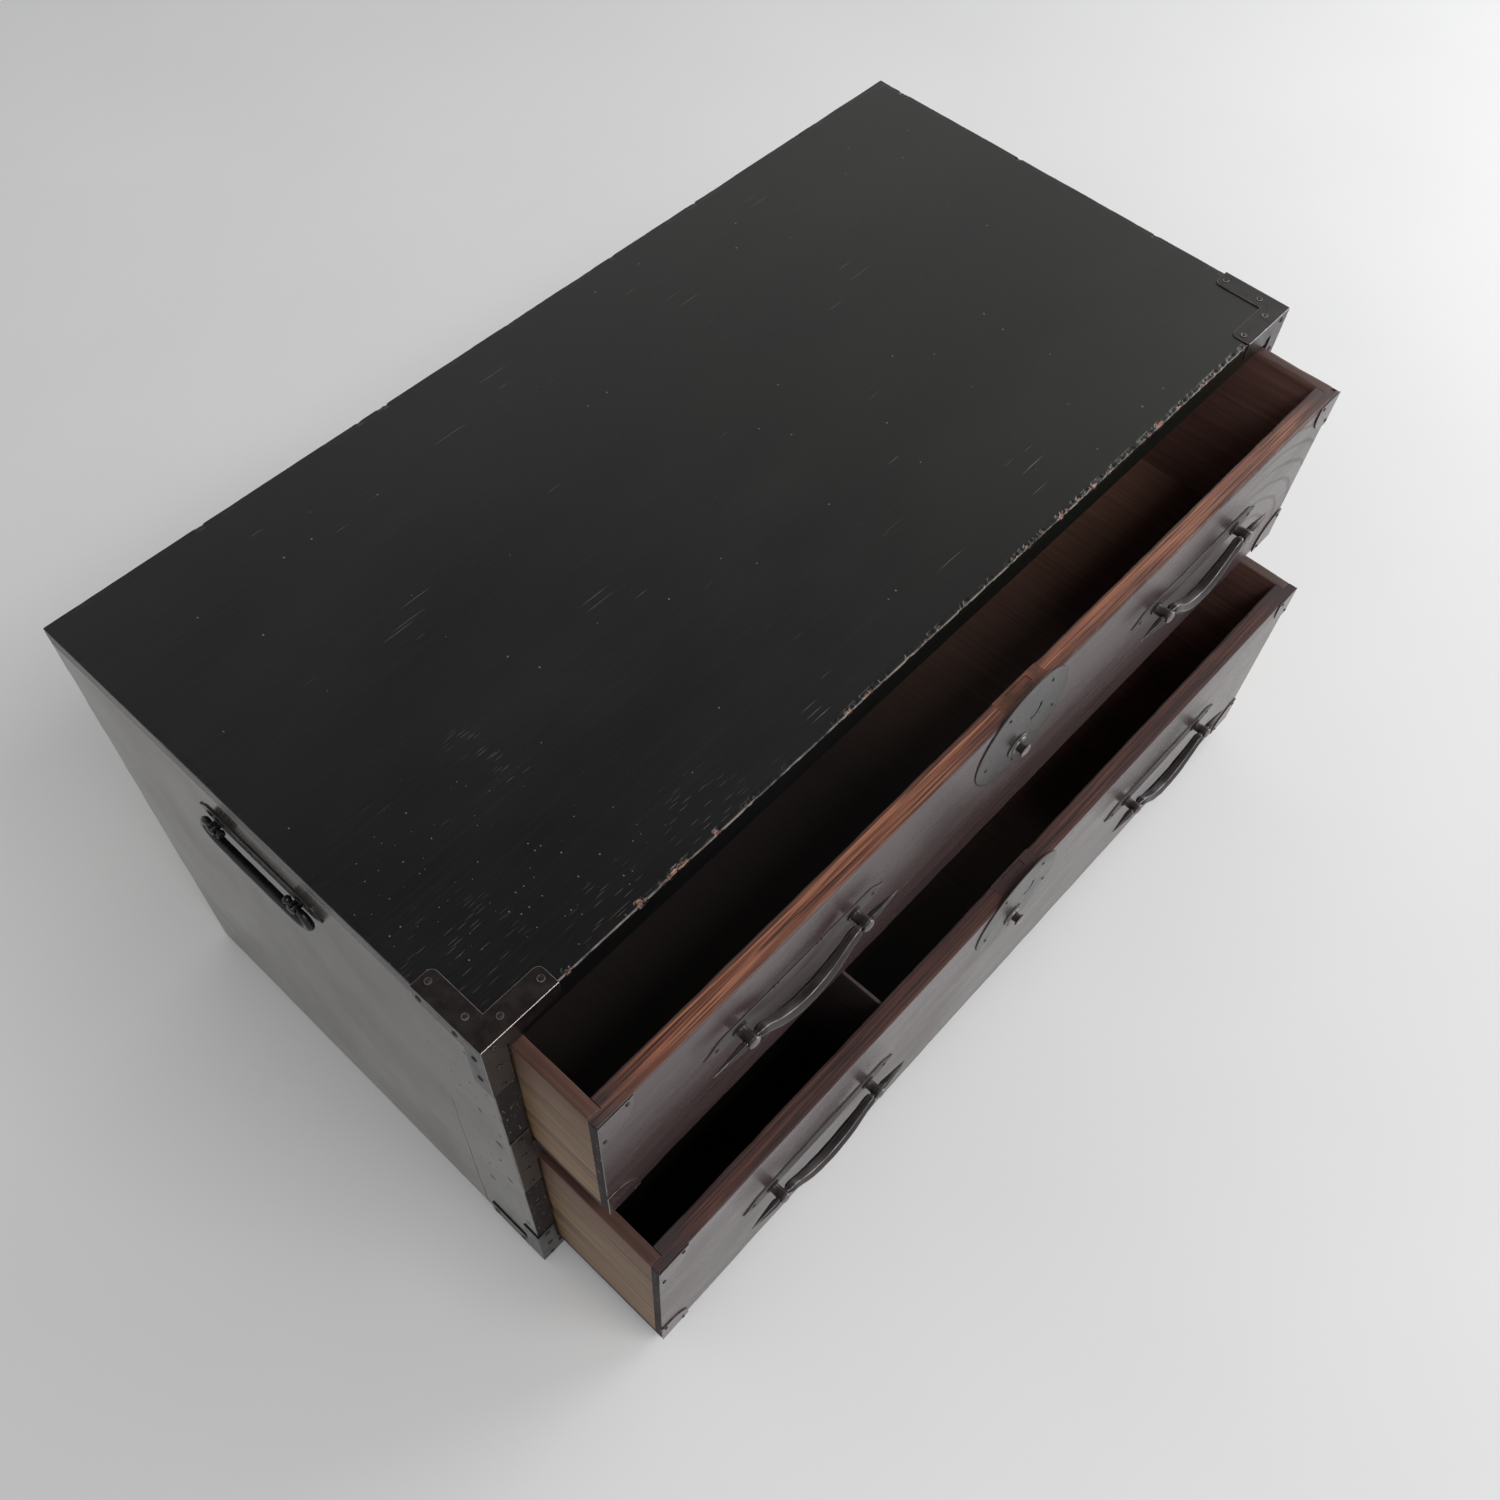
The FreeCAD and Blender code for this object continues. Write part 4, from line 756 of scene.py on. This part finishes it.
# The inner faces and the drawer floors take painted shade, darker towards the left end
INNER = plain_wood("inner_wood", "#60443e", "#815e55", DEEP, 0.42, (-0.05, 0.4))
FLOORING = plain_wood("drawer_floor_wood", "#553a30", "#745243", DEEP, 0.5, (-0.05, 0.42))
SIDE_TOP = plain_wood("drawer_side_top_wood", "#331f19", "#5b3e33", DEEP, 0.42)
DIVIDER = plain_wood("divider_wood", "#352c2a", "#4b403d", DEEP, 0.5)
BARE = plain_wood("case_wood", "#5a4632", "#7c6347", ACROSS, 0.6)
PALE = plain_wood("pale_case_wood", "#665038", "#87694a", ACROSS, 0.6)
RAIL_WOOD = plain_wood("rail_wood", "#1d1512", "#2f211c", ACROSS, 0.4)
IRON = black_iron("corner_iron", "#171210", "#211a18", 0.0, 0.26, 0.4)
FORGED = black_iron("forged_iron", "#1d1718", "#322a2b", 0.2, 0.34, 0.5, 14)
RUBBED = black_iron("rubbed_iron", "#7a7170", "#aaa2a0", 0.85, 0.22, 0.38, 10)
RIDGE = black_iron("worn_iron", "#5f5858", "#8c8484", 0.75, 0.24, 0.4, 10)
LACQUERED_IRON = black_iron("lacquered_iron", "#362a2b", "#493a3a", 0.0, 0.2, 0.28, 20)
LEAF = black_iron("leaf_plate_iron", "#403b3a", "#4c4745", 0.0, 0.46, 0.56, 20)
CARRY_IRON = black_iron("carry_iron", "#121112", "#1f1e20", 0.4, 0.2, 0.36, 14)
PLATE = black_iron("plate_iron", "#242322", "#302e2c", 0.0, 0.24, 0.36, 20)
NAIL = black_iron("nail_iron", "#171413", "#2c2624", 0.3, 0.3, 0.5, 3)
# The upper lock's case has rusted brighter than the lower one's
RUSTY = {"upper": black_iron("rusty_iron", "#40200f", "#6e3d28", 0.0, 0.6, 0.74),
         "lower": black_iron("dull_rusty_iron", "#241210", "#3f231d", 0.0, 0.6, 0.74)}
SIDE_WOODS = {name: side_wood(f"{name}_side_wood", top) for name, (_, _, top, _) in DRAWERS.items()}


# The case

def chips_on_top():
    """Chips in the top's arrises where the wood shows: front ones from left to right, then the
    nicks at the back and the right end. Each is a place, a half length and a depth."""
    front = [(-379, 4, 1.2), (-362, 5, 0.7), (-316, 5, 2.8), (-286, 20, 1.0), (-246, 4, 1.2), (-214, 12, 0.7),
             (-180, 14, 0.6), (-105, 34, 0.95), (-52, 6, 0.7), (-25, 14, 0.95), (10, 8, 0.8), (40, 10, 0.7),
             (88, 30, 0.95), (131, 8, 1.5), (158, 20, 0.85), (176, 8, 1.3), (205, 24, 0.85), (240, 16, 0.9),
             (262, 7, 1.4), (292, 22, 0.85), (330, 18, 0.95), (360, 12, 0.8), (385, 14, 0.75), (410, 8, 0.7)]
    back = [(-321, 4, 0.9), (-175, 3, 0.9), (-152, 6, 1.0), (-20, 3, 0.7), (96, 3, 0.8), (192, 5, 0.9),
            (330, 4, 0.8)]
    ends = [(193, 6, 1.2), (60, 4, 0.8), (-90, 3, 0.9)]
    near_top = HEIGHT - 12.6
    return ([(ACROSS, *chip, lambda spot: spot.y < -200 and spot.z > near_top) for chip in front]
            + [(ACROSS, *chip, lambda spot: spot.y > 200 and spot.z > near_top) for chip in back]
            + [(DEEP, *chip, lambda spot: spot.x > 440 and spot.z > near_top) for chip in ends])


def bolt_mortise(low, high):
    """A cutter for the hole that a lock's bolt rises into."""
    return block("mortise", (-13.5, -214.8, low), (13.5, -206.8, high))


def make_top():
    """The top board: eased, chipped along its front arris and nicked at the back and the end."""
    top = block("worn_top_board", (-HALF_WIDTH, -HALF_DEPTH, TOP_UNDER), (HALF_WIDTH, HALF_DEPTH, HEIGHT))
    ease(top, 0.8, segments=3)
    insets = (1.5, 2.4, 3.4, 4.8)
    for axis, half in ((ACROSS, HALF_WIDTH), (DEEP, HALF_DEPTH)):
        score(top, axis, *[inset - half for inset in insets], *[half - inset for inset in insets])
    score(top, UP, HEIGHT - 4.8, HEIGHT - 2.2)
    near, above = 5, HEIGHT - 5
    slice_along(top, ACROSS, 1.5, lambda middle: middle.y < near - HALF_DEPTH and middle.z > above)
    slice_along(top, ACROSS, 2.5, lambda middle: middle.y > HALF_DEPTH - near and middle.z > above)
    slice_along(top, DEEP, 2, lambda middle: abs(middle.x) > HALF_WIDTH - near and middle.z > above)
    wear(top, depth=0.3, pace=30, seed=4, chips=chips_on_top(), reach=4.7)
    laps = [block("lap", (left, -HALF_DEPTH - 4, TOP_UNDER - 4), (right, HALF_DEPTH + 4, TOP_LAP))
            for left, right in ((-HALF_WIDTH - 4, -BAY), (BAY, HALF_WIDTH + 4))]
    cut(top, *laps, bolt_mortise(TOP_UNDER - 2, TOP_UNDER + 8.5))
    finish(top, "case", "lacquer_black", LACQUER, "top_board")


def make_side(word, side):
    """A side board: housed for the bottom, rail and shelf, worn at its arrises. The left one has a
    crack that wavers up from its foot."""
    outer = side * HALF_WIDTH
    left, right = sorted((side * BAY, outer))
    chips = [(UP, 60, 82, 5.5, lambda spot: spot.y > 200)] if side < 0 else []
    piece = board(f"{word}_worn_side", (left, -HALF_DEPTH, 0), (right, HALF_DEPTH, TOP_LAP), UP,
                  11 + side, rounding=1.0, spacing=4, depth=0.7, pace=26, chips=chips)
    low, high = sorted((side * (BAY + HOUSING), side * (BAY - 3)))
    for start, end, bottom, top in ((-HALF_DEPTH - 4, BACK_INSIDE, -3, 15),
                                    (-HALF_DEPTH - 4, RAIL_BACK, *RAIL),
                                    (RAIL_BACK - 1, BACK_INSIDE, SHELF_UNDER, RAIL[1])):
        cut(piece, block("housing", (low, start, bottom), (high, end, top)))
    if side < 0:
        crack = block("crack", (outer - 2, -0.4, -4), (outer + 3, 0.4, 278))
        slice_along(crack, UP, 9)
        for corner in crack.data.vertices:
            up = corner.co.z / MM
            corner.co.y = (corner.co.y * (0.35 + 0.65 * (1 - up / 300))
                           + MM * (-151 - 0.022 * up + 1.1 * noise.noise(Vector((up / 40, 0.3, 0.7)))))
        cut(piece, crack)
    finish(piece, "case", "lacquer_side", [SIDE, SIDE_EDGE], f"{word}_side_board")
    dress_faces(piece, 1, lambda middle, normal: normal.y < -0.6 or side * normal.x < -0.7)


def make_case():
    """Everything of wood that belongs to the case."""
    make_top()
    for word, side in SIDES.items():
        make_side(word, side)
    rail = board_of("eased_rail", "middle_rail", ACROSS, 21, rounding=0.8)
    cut(rail, block("rebate", (-HALF_WIDTH, RAIL_BACK - 9, SHELF_UNDER),
                    (HALF_WIDTH, RAIL_BACK + 4, RAIL[1] + 4)),
        bolt_mortise(RAIL[0] - 2, RAIL[0] + 8.5))
    finish(rail, "case", "lacquer_black", RAIL_WOOD, "middle_rail")
    bottom = board_of("eased_bottom_board", "bottom_board", ACROSS, 22, rounding=0.6)
    finish(bottom, "case", "bare_wood", [BARE, RAIL_WOOD], "bottom_board")
    dress_faces(bottom, 1, lambda middle, normal: normal.y < -0.6)
    low, high = (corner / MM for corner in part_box("back_boards"))
    tall = (high.z - low.z) / 3
    boards = []
    for index, finishes in enumerate((BARE, PALE, BARE)):
        boards.append(board("back_board", (low.x, low.y, low.z + index * tall),
                            (high.x, high.y, low.z + (index + 1) * tall), ACROSS, 31 + index,
                            rounding=0.9, spacing=8))
        dress(boards[-1], finishes)
    finish(joined("eased_back_boards", boards), "case", "bare_wood", None, "back_boards")
    for node in ("middle_shelf", "kicker_battens", "drawer_stops"):
        dress_cad(node, BARE)


# The case's irons

def make_corner_irons():
    """Folded sheet with its edges filed and the tips of the upper irons' legs rounded. The upper ones
    are rubbed bright along the top's front arris and worn at their other edges."""
    def at_tip(edge):
        way = edge.verts[1].co - edge.verts[0].co
        if not 0.8 * MM < way.length < 1.6 * MM:
            return False
        middle = (edge.verts[0].co + edge.verts[1].co) / 2 / MM
        across = sorted([HALF_WIDTH - abs(middle.x), middle.y + HALF_DEPTH, HEIGHT - middle.z])
        return across[0] < 1 and 15 < across[1] < 19 and across[2] > 50

    for word in SIDES:
        for level in ("upper", "lower"):
            piece = from_cad(f"{level}_{word}_filed_iron", f"{level}_{word}_corner_iron")
            dress(piece, [IRON, RUBBED, RIDGE])
            start_edit(piece, "EDGE")
            if level == "upper":
                pick(piece, "edges", at_tip)
                bpy.ops.mesh.bevel(offset=5 * MM, segments=4, affect="EDGES")
            end_edit()
            ease(piece, 0.4, rubbed=1)
            for face in piece.data.polygons:
                middle = face.center / MM
                if face.material_index and (middle.y > -HALF_DEPTH or middle.z < HEIGHT - 0.5):
                    face.material_index = 2 if level == "upper" else 0
            finish(piece, "case", "iron", None, f"{level}_{word}_corner_iron")
        strap = ease(from_cad(f"{word}_filed_strap", f"middle_{word}_iron"), 0.4)
        finish(strap, "case", "iron", IRON, f"middle_{word}_iron")


# Nails

def nail_places(node):
    """Where the CAD's nails are: each head's foot, the way that it faces and the nail's length."""
    mesh = bmesh.new()
    mesh.from_mesh(frame["nodes"][node].data)
    bmesh.ops.remove_doubles(mesh, verts=mesh.verts, dist=MERGE)
    unseen = set(mesh.verts)
    places = []
    while unseen:
        nail, reached = set(), [unseen.pop()]
        while reached:
            corner = reached.pop()
            nail.add(corner)
            for edge in corner.link_edges:
                other = edge.other_vert(corner)
                if other in unseen:
                    unseen.discard(other)
                    reached.append(other)
        low, high = (Vector([end(corner.co[axis] for corner in nail) for axis in range(3)])
                     for end in (min, max))
        axis = max(range(3), key=lambda item: high[item] - low[item])
        foot = (low + high) / 2
        way = Vector((0, 0, 0))
        way[axis] = -1 if axis == DEEP or (axis == ACROSS and foot.x < 0) else 1
        foot[axis] = (high if way[axis] > 0 else low)[axis] - way[axis] * 0.9 * MM
        places.append((foot, way, (high - low)[axis] / MM))
    mesh.free()
    places.sort(key=lambda item: tuple(round(value, 5) for value in item[0]))
    return places


def make_nails(name, node, body, scale=1.0):
    """Round-headed nails, each a little off the rest: a dome inside a rolled rim, which is rubbed
    bright on those that face upwards. Long ones join boards, and have small flush heads."""
    dice = random.Random(len(node))
    head = turned("nail", [(0, -1.5), (0.8, -1.5), (0.8, -0.1), (2.6, -0.1), (2.8, 0.25), (2.6, 0.6),
                           (2.3, 0.62), (1.9, 0.4), (1.2, 0.6), (0.7, 0.75), (0, 0.8)], steps=16)
    flush = turned("nail", [(0, -1.5), (0.8, -1.5), (1.7, 0.55), (1.6, 0.86), (0.8, 0.95), (0, 0.95)],
                   steps=12)
    for model in (head, flush):
        dress(model, [NAIL, RUBBED])
    ringed = copied(head, Matrix.Identity(4))
    dress_faces(ringed, 1, lambda middle, normal: middle.z > 0.2 and middle.xy.length > 2.1)
    made = []
    for foot, way, length in nail_places(node):
        size = dice.uniform(0.82, 1.0) * scale
        tilt = (Matrix.Rotation(dice.uniform(-0.06, 0.06), 4, "X")
                @ Matrix.Rotation(dice.uniform(-0.06, 0.06), 4, "Y"))
        turn = way.to_track_quat("Z", "Y").to_matrix().to_4x4()
        shape = Matrix.Diagonal((size, size, 1, 1))
        model = flush if length > 15 else ringed if way.z > 0.9 else head
        made.append(copied(model, Matrix.Translation(foot) @ turn @ tilt @ shape))
    for model in (head, ringed, flush):
        bpy.data.objects.remove(model)
    finish(joined(name, made), body, "iron", None, node)


# Handles

# Half of a drawer bail from its pin to its middle: x from the middle, z, half height and half depth.
BAIL_HALF = [(64.5, 0, 2.7, 2.7), (58, 0, 2.7, 2.7), (53, 0, 2.9, 2.9), (51.2, -0.3, 4.6, 4.2),
             (47.5, -1.4, 5.6, 4.8), (43, -4.6, 5.9, 4.9), (37.5, -9.8, 5.8, 5.1), (31, -15.2, 5.9, 5.5),
             (22, -20.8, 6.2, 5.9), (11, -24.9, 6.6, 6.1), (0, -26.3, 6.7, 6.2)]
# A thorn from its root to its tip, flat on its faces like a spear's blade.
THORN = [(64.5, 0, 2.9, 2.9), (67, 0, 3.4, 3.2), (73, -0.1, 3.2, 2.8), (81, -0.3, 2.2, 1.9),
         (89, -0.4, 1.1, 1.0), (94.5, -0.5, 0.3, 0.3)]
# The posts: their heads' middles stand off the board, and their shanks go through it.
DRAWER_POST = dict(standoff=12, neck=4.4, ball=5.6, collar=6.5, collar_tall=1.6, bore=3.1, through=18)
CARRY_POST = dict(standoff=6, neck=3.4, ball=4.4, collar=5, collar_tall=0.8, bore=2.6, through=18.6)
# Half of a carrying bail from the knob inside its post round its curled end to its middle.
CARRY_BAIL_HALF = [(33.6, 0, 2.7, 2.7), (35, 0, 3.3, 3.3), (36.6, 0, 3.1, 3.1), (38, 0, 2.3, 2.3),
                   (41, 0, 2.2, 2.2), (45, 0, 2.2, 2.2), (49, 0, 2.6, 2.6), (52.5, -1.6, 3.0, 2.9),
                   (55.2, -5.4, 3.3, 3.1), (55.8, -10.2, 3.5, 3.3), (52.6, -15, 3.7, 3.5),
                   (46, -18.4, 3.9, 3.7), (34, -19.7, 4, 3.8), (20, -20, 4, 3.9), (0, -20, 4, 3.9)]


def forged_bail(name, half, **how):
    """A bail drawn out from one end to the other, from the stations of its right half."""
    return forged_rod(name, [(-x, *rest) for x, *rest in half] + half[-2::-1], **how)


def make_drawer_bail(seed):
    """A leech-shaped bail forged with flats, with its pins drawn out to long thorns."""
    parts = [forged_bail("bail", BAIL_HALF, sides=6, rings=65)]
    dress(parts[0], [FORGED, RIDGE])
    ease(parts[0], 0.75, segments=3, angle=32, rubbed=1)
    for side in SIDES.values():
        thorn = forged_rod("thorn", THORN, sides=6, rings=15)
        dress(thorn, [FORGED, RIDGE])
        ease(thorn, 0.22, segments=1, angle=40, rubbed=1)
        if side < 0:
            thorn.data.transform(Matrix.Scale(-1, 4, (1, 0, 0)))
            thorn.data.flip_normals()
        parts.append(thorn)
    whole = joined("bail", parts)
    return smooth(hammered(whole, depth=0.3, pace=9, seed=seed), 32)


def make_post(standoff, neck, ball, collar, collar_tall, bore, through):
    """A headed post: collar on the plate, barrel bored for the pin, domed cap with a rolled rim. It is
    clenched behind the board that it goes through."""
    foot = PLATE_THICK + collar_tall
    barrel = [(0, -through), (2, -through), (2, PLATE_THICK), (collar, PLATE_THICK),
              (collar, PLATE_THICK + collar_tall * 0.7), (collar - 0.7, foot), (neck + 0.4, foot + 0.2),
              (neck, foot + 1), (neck + 0.1, standoff - ball * 0.7)]
    cap = [(ball * out, standoff + ball * up) for out, up in (
        (0.93, -0.2), (0.95, 0.3), (0.86, 0.42), (0.86, 0.5), (0.98, 0.56), (0.96, 0.7), (0.6, 0.92), (0, 1))]
    post = turned("post", barrel + cap, steps=28)
    cut(post, peg(bore, 30, (0, 0, standoff), ACROSS, 20))
    clench = ease(block("clench", (-8, -1.5, -through), (8, 1.5, -through + 1)), 0.4)
    clench.data.transform(Matrix.Rotation(math.pi / 2, 4, "Z"))
    dress(post, [FORGED, RIDGE])
    dress_faces(post, 1, lambda middle, normal: middle.z > standoff + ball * 0.5)
    return smooth(joined("post", [post, clench]), 38)


def leaf_outline(half, wide):
    """A handle plate's outline as (x, z), pointed at its ends, with filed nicks beside its middle."""
    tip = [(1, 0), (0.965, 0.1), (0.93, 0.34), (0.885, 0.72), (0.84, 0.94), (0.8, 1.0)]
    nicks = [(0.27, 1), (0.262, 0.84), (0.254, 1), (0.225, 1), (0.217, 0.84), (0.209, 1)]
    right = [(x * half, z * wide) for x, z in tip + nicks]
    upper = right + [(-x, z) for x, z in reversed(right)]
    return upper + [(x, -z) for x, z in reversed(upper[1:-1])]


def make_mount(body, at, spacing, outline, plate, post, posts):
    """A handle's pointed plate and its two posts, set in place. The plate and the posts are given as
    their name, their finish and the node that they stand for, and post is the size of one post."""
    sheet = sheet_iron(plate[0], outline, PLATE_THICK)
    model = make_post(**post)
    made = []
    for x in (-spacing, spacing):
        cut(sheet, peg(2.2, 10, (x, 0, 0), DEEP, 16))
        made.append(copied(model, at @ shifted(x, 0, 0) @ OUTWARD))
    bpy.data.objects.remove(model)
    sheet.data.transform(at)
    finish(sheet, body, "iron", plate[1], plate[2])
    finish(joined(posts[0], made), body, "iron", posts[1], posts[2])


def make_drawer_handles(name):
    """Both handles of one drawer."""
    face, _, top, drop = DRAWERS[name]
    for word, side in SIDES.items():
        handle = f"{name}_{word}"
        at = shifted(side * HANDLE_PLACE, face, top - drop)
        make_mount(f"{name}_drawer", at, POST_PLACE, leaf_outline(92, 10),
                   (f"{handle}_filed_plate", LEAF, f"{handle}_handle_plate"),
                   DRAWER_POST, (f"{handle}_turned_posts", None, f"{handle}_handle_posts"))
        bail = make_drawer_bail(side * 2 + face)
        bail.data.transform(at @ shifted(0, -12, 0))
        bail.name = f"{handle}_forged_bail"
        finish(bail, f"{handle}_bail", "iron", None, f"{handle}_bail")


def make_carry_handle(word, side):
    """A carrying handle: a slim plate, two posts and a bail curled in at its ends."""
    at = (shifted(side * HALF_WIDTH, CARRY_PLACE, CARRY_HEIGHT)
          @ Matrix.Rotation(math.pi / 2 * side, 4, "Z"))
    make_mount("case", at, CARRY_HALF, leaf_outline(66, 8),
               (f"{word}_filed_carry_plate", PLATE, f"{word}_carry_plate"),
               CARRY_POST, (f"{word}_turned_carry_posts", CARRY_IRON, f"{word}_carry_posts"))
    bail = forged_bail(f"{word}_forged_carry_bail", CARRY_BAIL_HALF, sides=10, rings=97, turn=0.5)
    smooth(hammered(bail, depth=0.2, pace=9, seed=8 + side), 40)
    bail.data.transform(at @ shifted(0, -6, 0))
    finish(bail, f"{word}_carry_bail", "iron", CARRY_IRON, f"{word}_carry_bail")


# Locks

def key_slot_cutter():
    """The curved key slot, as a bent bar to cut with."""
    turns = [math.radians(-55 + 73 * step / 14) for step in range(15)]
    rim = [(radius * math.cos(turn), radius * math.sin(turn))
           for radius, way in ((14, 1), (11, -1)) for turn in turns[::way]]
    bar = sheet_iron("key_slot", rim, 8, 0)
    bar.data.transform(shifted(6, 4, 11))
    return bar


def make_lock(name):
    """The round lock plate with its boss, key slot and pin hole, and the push button. The stem's end
    is cut on the slant that lifts the bolt."""
    face, _, top, _ = DRAWERS[name]
    below = LOCK_DROP - BUTTON_DROP
    plate = turned("lock_plate", [(0, 0), (53.6, 0), (54, 0.3), (54, 0.8), (53.4, 1.15), (52, 1.2), (30, 1.3),
                                  (0, 1.3)], steps=120)
    plate.data.transform(OUTWARD)
    boss = turned("boss", [(0, 0.3), (11.5, 0.3), (11.5, 2.2), (11.0, 2.8), (9.2, 2.9), (8.7, 3.0),
                           (8.5, 3.7), (8.0, 4.0), (5.2, 4.05), (0, 4.05)], steps=40)
    boss.data.transform(shifted(0, 0, below) @ OUTWARD)
    cut(plate, peg(2, 20, (10, 0, 2), DEEP, 20), key_slot_cutter(),
        peg(BUTTON_BORE, 40, (0, 0, below), DEEP, 28))
    cut(boss, peg(BUTTON_BORE, 40, (0, 0, below), DEEP, 28))
    dress(plate, [PLATE, RIDGE])
    dress(boss, [PLATE, RIDGE])
    for inner, outer in ((7.8, 8.6), (10.6, 11.3)):
        dress_faces(boss, 1, lambda middle, normal: inner < math.hypot(middle.x, middle.z - below) < outer)
    whole = smooth(joined(f"{name}_filed_lock_plate", [plate, boss]), 32)
    whole.data.transform(shifted(0, face, top - LOCK_DROP))
    finish(whole, f"{name}_drawer", "iron", None, f"{name}_lock_plate")
    button = turned(f"{name}_turned_button",
                    [(0, -11), (4, -11), (4, 8.3), (5.6, 8.35), (5.8, 8.7), (5.75, 9.5), (5.2, 10.1),
                     (4.4, 10.45), (2, 10.5), (0, 10.5)], steps=28)
    button.data.transform(shifted(0, face, top - BUTTON_DROP) @ OUTWARD)
    start_edit(button)
    bpy.ops.mesh.select_all(action="SELECT")
    bpy.ops.mesh.bisect(plane_co=Vector((0, face + 6.5, top - 57)) * MM,
                        plane_no=Vector((0, 7, 4)).normalized(), use_fill=True, clear_outer=True)
    end_edit()
    smooth(button, 38)
    dress(button, [FORGED, RUBBED])
    dress_faces(button, 1, lambda middle, normal: middle.y < face - 9.2)
    finish(button, f"{name}_lock_button", "iron", None, f"{name}_lock_button")
    for node in ("lock_case", "lock_bolt", "lock_spring"):
        dress_cad(f"{name}_{node}", RUSTY[name])


# Drawers

def make_drawer_front(name):
    """A front with worn arrises, lapped for its sides and bottom and let in for its lock."""
    face, low, top, _ = DRAWERS[name]
    front = board(f"{name}_worn_front", (-DRAWER_HALF, face, low), (DRAWER_HALF, face + 17, top), ACROSS,
                  41 + low, rounding=0.9, spacing=3, depth=0.5, pace=24)
    back, lap, end = face + 21, face + 7.5, DRAWER_HALF + 3
    cut(front, block("lap", (-end, lap, low - 3), (-DRAWER_HALF + 11, back, top + 3)),
        block("lap", (DRAWER_HALF - 11, lap, low - 3), (end, back, top + 3)),
        block("lap", (-end, lap, low - 3), (end, back, low + 7)),
        block("lock_place", (-25.2, face + 5, top - 77.2), (25.2, back, top + 3)),
        block("key_way", (12, face - 3, top - LOCK_DROP), (20.5, face + 8, top - 22)),
        peg(BUTTON_BORE, 60, (0, face, top - BUTTON_DROP), DEEP, 24))
    dress(front, [FRONT, UPPER_EDGE if name == "upper" else LOWER_EDGE, INNER, SIDE_EDGE])
    dress_faces(front, 3, lambda middle, normal: abs(normal.x) > 0.7 or normal.z < -0.6)
    dress_faces(front, 2, lambda middle, normal: middle.y > face + 7)
    dress_faces(front, 1, lambda middle, normal: normal.z > 0.6 and middle.z > top - 2)
    finish(front, f"{name}_drawer", "lacquer_front", None, f"{name}_drawer_front")


def make_drawer(name):
    """One whole drawer."""
    make_drawer_front(name)
    body = f"{name}_drawer"
    for word, side in SIDES.items():
        piece = board_of(f"{name}_{word}_eased_side", f"{name}_drawer_{word}_side", DEEP, 51, rounding=0.8)
        dress(piece, [SIDE_WOODS[name], INNER, SIDE_TOP])
        dress_faces(piece, 2, lambda middle, normal: normal.z > 0.7)
        dress_faces(piece, 1, lambda middle, normal: side * normal.x < -0.7)
        finish(piece, body, "drawer_wood", None, f"{name}_drawer_{word}_side")
    back = board_of(f"{name}_eased_back", f"{name}_drawer_back", ACROSS, 53, rounding=0.7, spacing=8)
    finish(back, body, "drawer_wood", INNER, f"{name}_drawer_back")
    bottom = board_of(f"{name}_eased_bottom", f"{name}_drawer_bottom", ACROSS, 54, rounding=0.5, spacing=8)
    finish(bottom, body, "drawer_wood", FLOORING, f"{name}_drawer_bottom")
    irons = ease(from_cad(f"{name}_filed_front_irons", f"{name}_front_irons"), 0.3)
    finish(irons, body, "iron", LACQUERED_IRON, f"{name}_front_irons")
    make_drawer_handles(name)
    make_lock(name)
    make_nails(f"{name}_drawn_nails", f"{name}_drawer_nails", body, 0.62)


make_case()
make_corner_irons()
make_nails("case_drawn_nails", "case_nails", "case")
for word, side in SIDES.items():
    make_carry_handle(word, side)
for name in DRAWERS:
    make_drawer(name)
divider = board_of("eased_divider", "lower_drawer_divider", DEEP, 61, rounding=0.6)
finish(divider, "lower_drawer", "drawer_wood", DIVIDER, "lower_drawer_divider")


# The floor, the light and the camera

floor = started("floor", "plane", size=30)
dress(floor, floor_finish())

world = bpy.data.worlds.new("room")
bpy.context.scene.world = world
world.use_nodes = True
sky = world.node_tree
sky.nodes.clear()
direction = add(sky, "TexCoord").node.outputs["Generated"]
lift = add(sky, "MapRange", add(sky, "SeparateXYZ", direction).node.outputs["Z"], 0, 1)
walls = add(sky, "ValToRGB", lift, stops=((0.0, 0.78), (0.58, 0.68), (0.76, 0.3), (0.9, 0.05)))
add(sky, "OutputWorld", add(sky, "Background", walls, Strength=1.0))

for name, place, size, power in (("window", (3.0, -1.0, 1.5), (2.2, 2.2), 55),
                                 ("lamp", (-0.2, -1.8, 3.0), (2.2, 0.9), 45)):
    light = bpy.data.lights.new(name, "AREA")
    light.shape = "RECTANGLE"
    light.size, light.size_y = size
    light.energy = power
    lit = bpy.data.objects.new(name, light)
    lit.location = place
    lit.rotation_euler = (Vector((0, -0.2, 0.3)) - lit.location).to_track_quat("-Z", "Y").to_euler()
    bpy.context.scene.collection.objects.link(lit)

lens = bpy.data.cameras.new("camera")
lens.sensor_width = 36
lens.lens = 35.51
camera = bpy.data.objects.new("camera", lens)
camera.location = (-0.5981, -0.5276, 1.3102)
camera.rotation_euler = [math.radians(angle) for angle in (32.56, -2.233, -47.497)]
bpy.context.scene.collection.objects.link(camera)
bpy.context.scene.camera = camera
bpy.context.scene.view_settings.view_transform = "Standard"
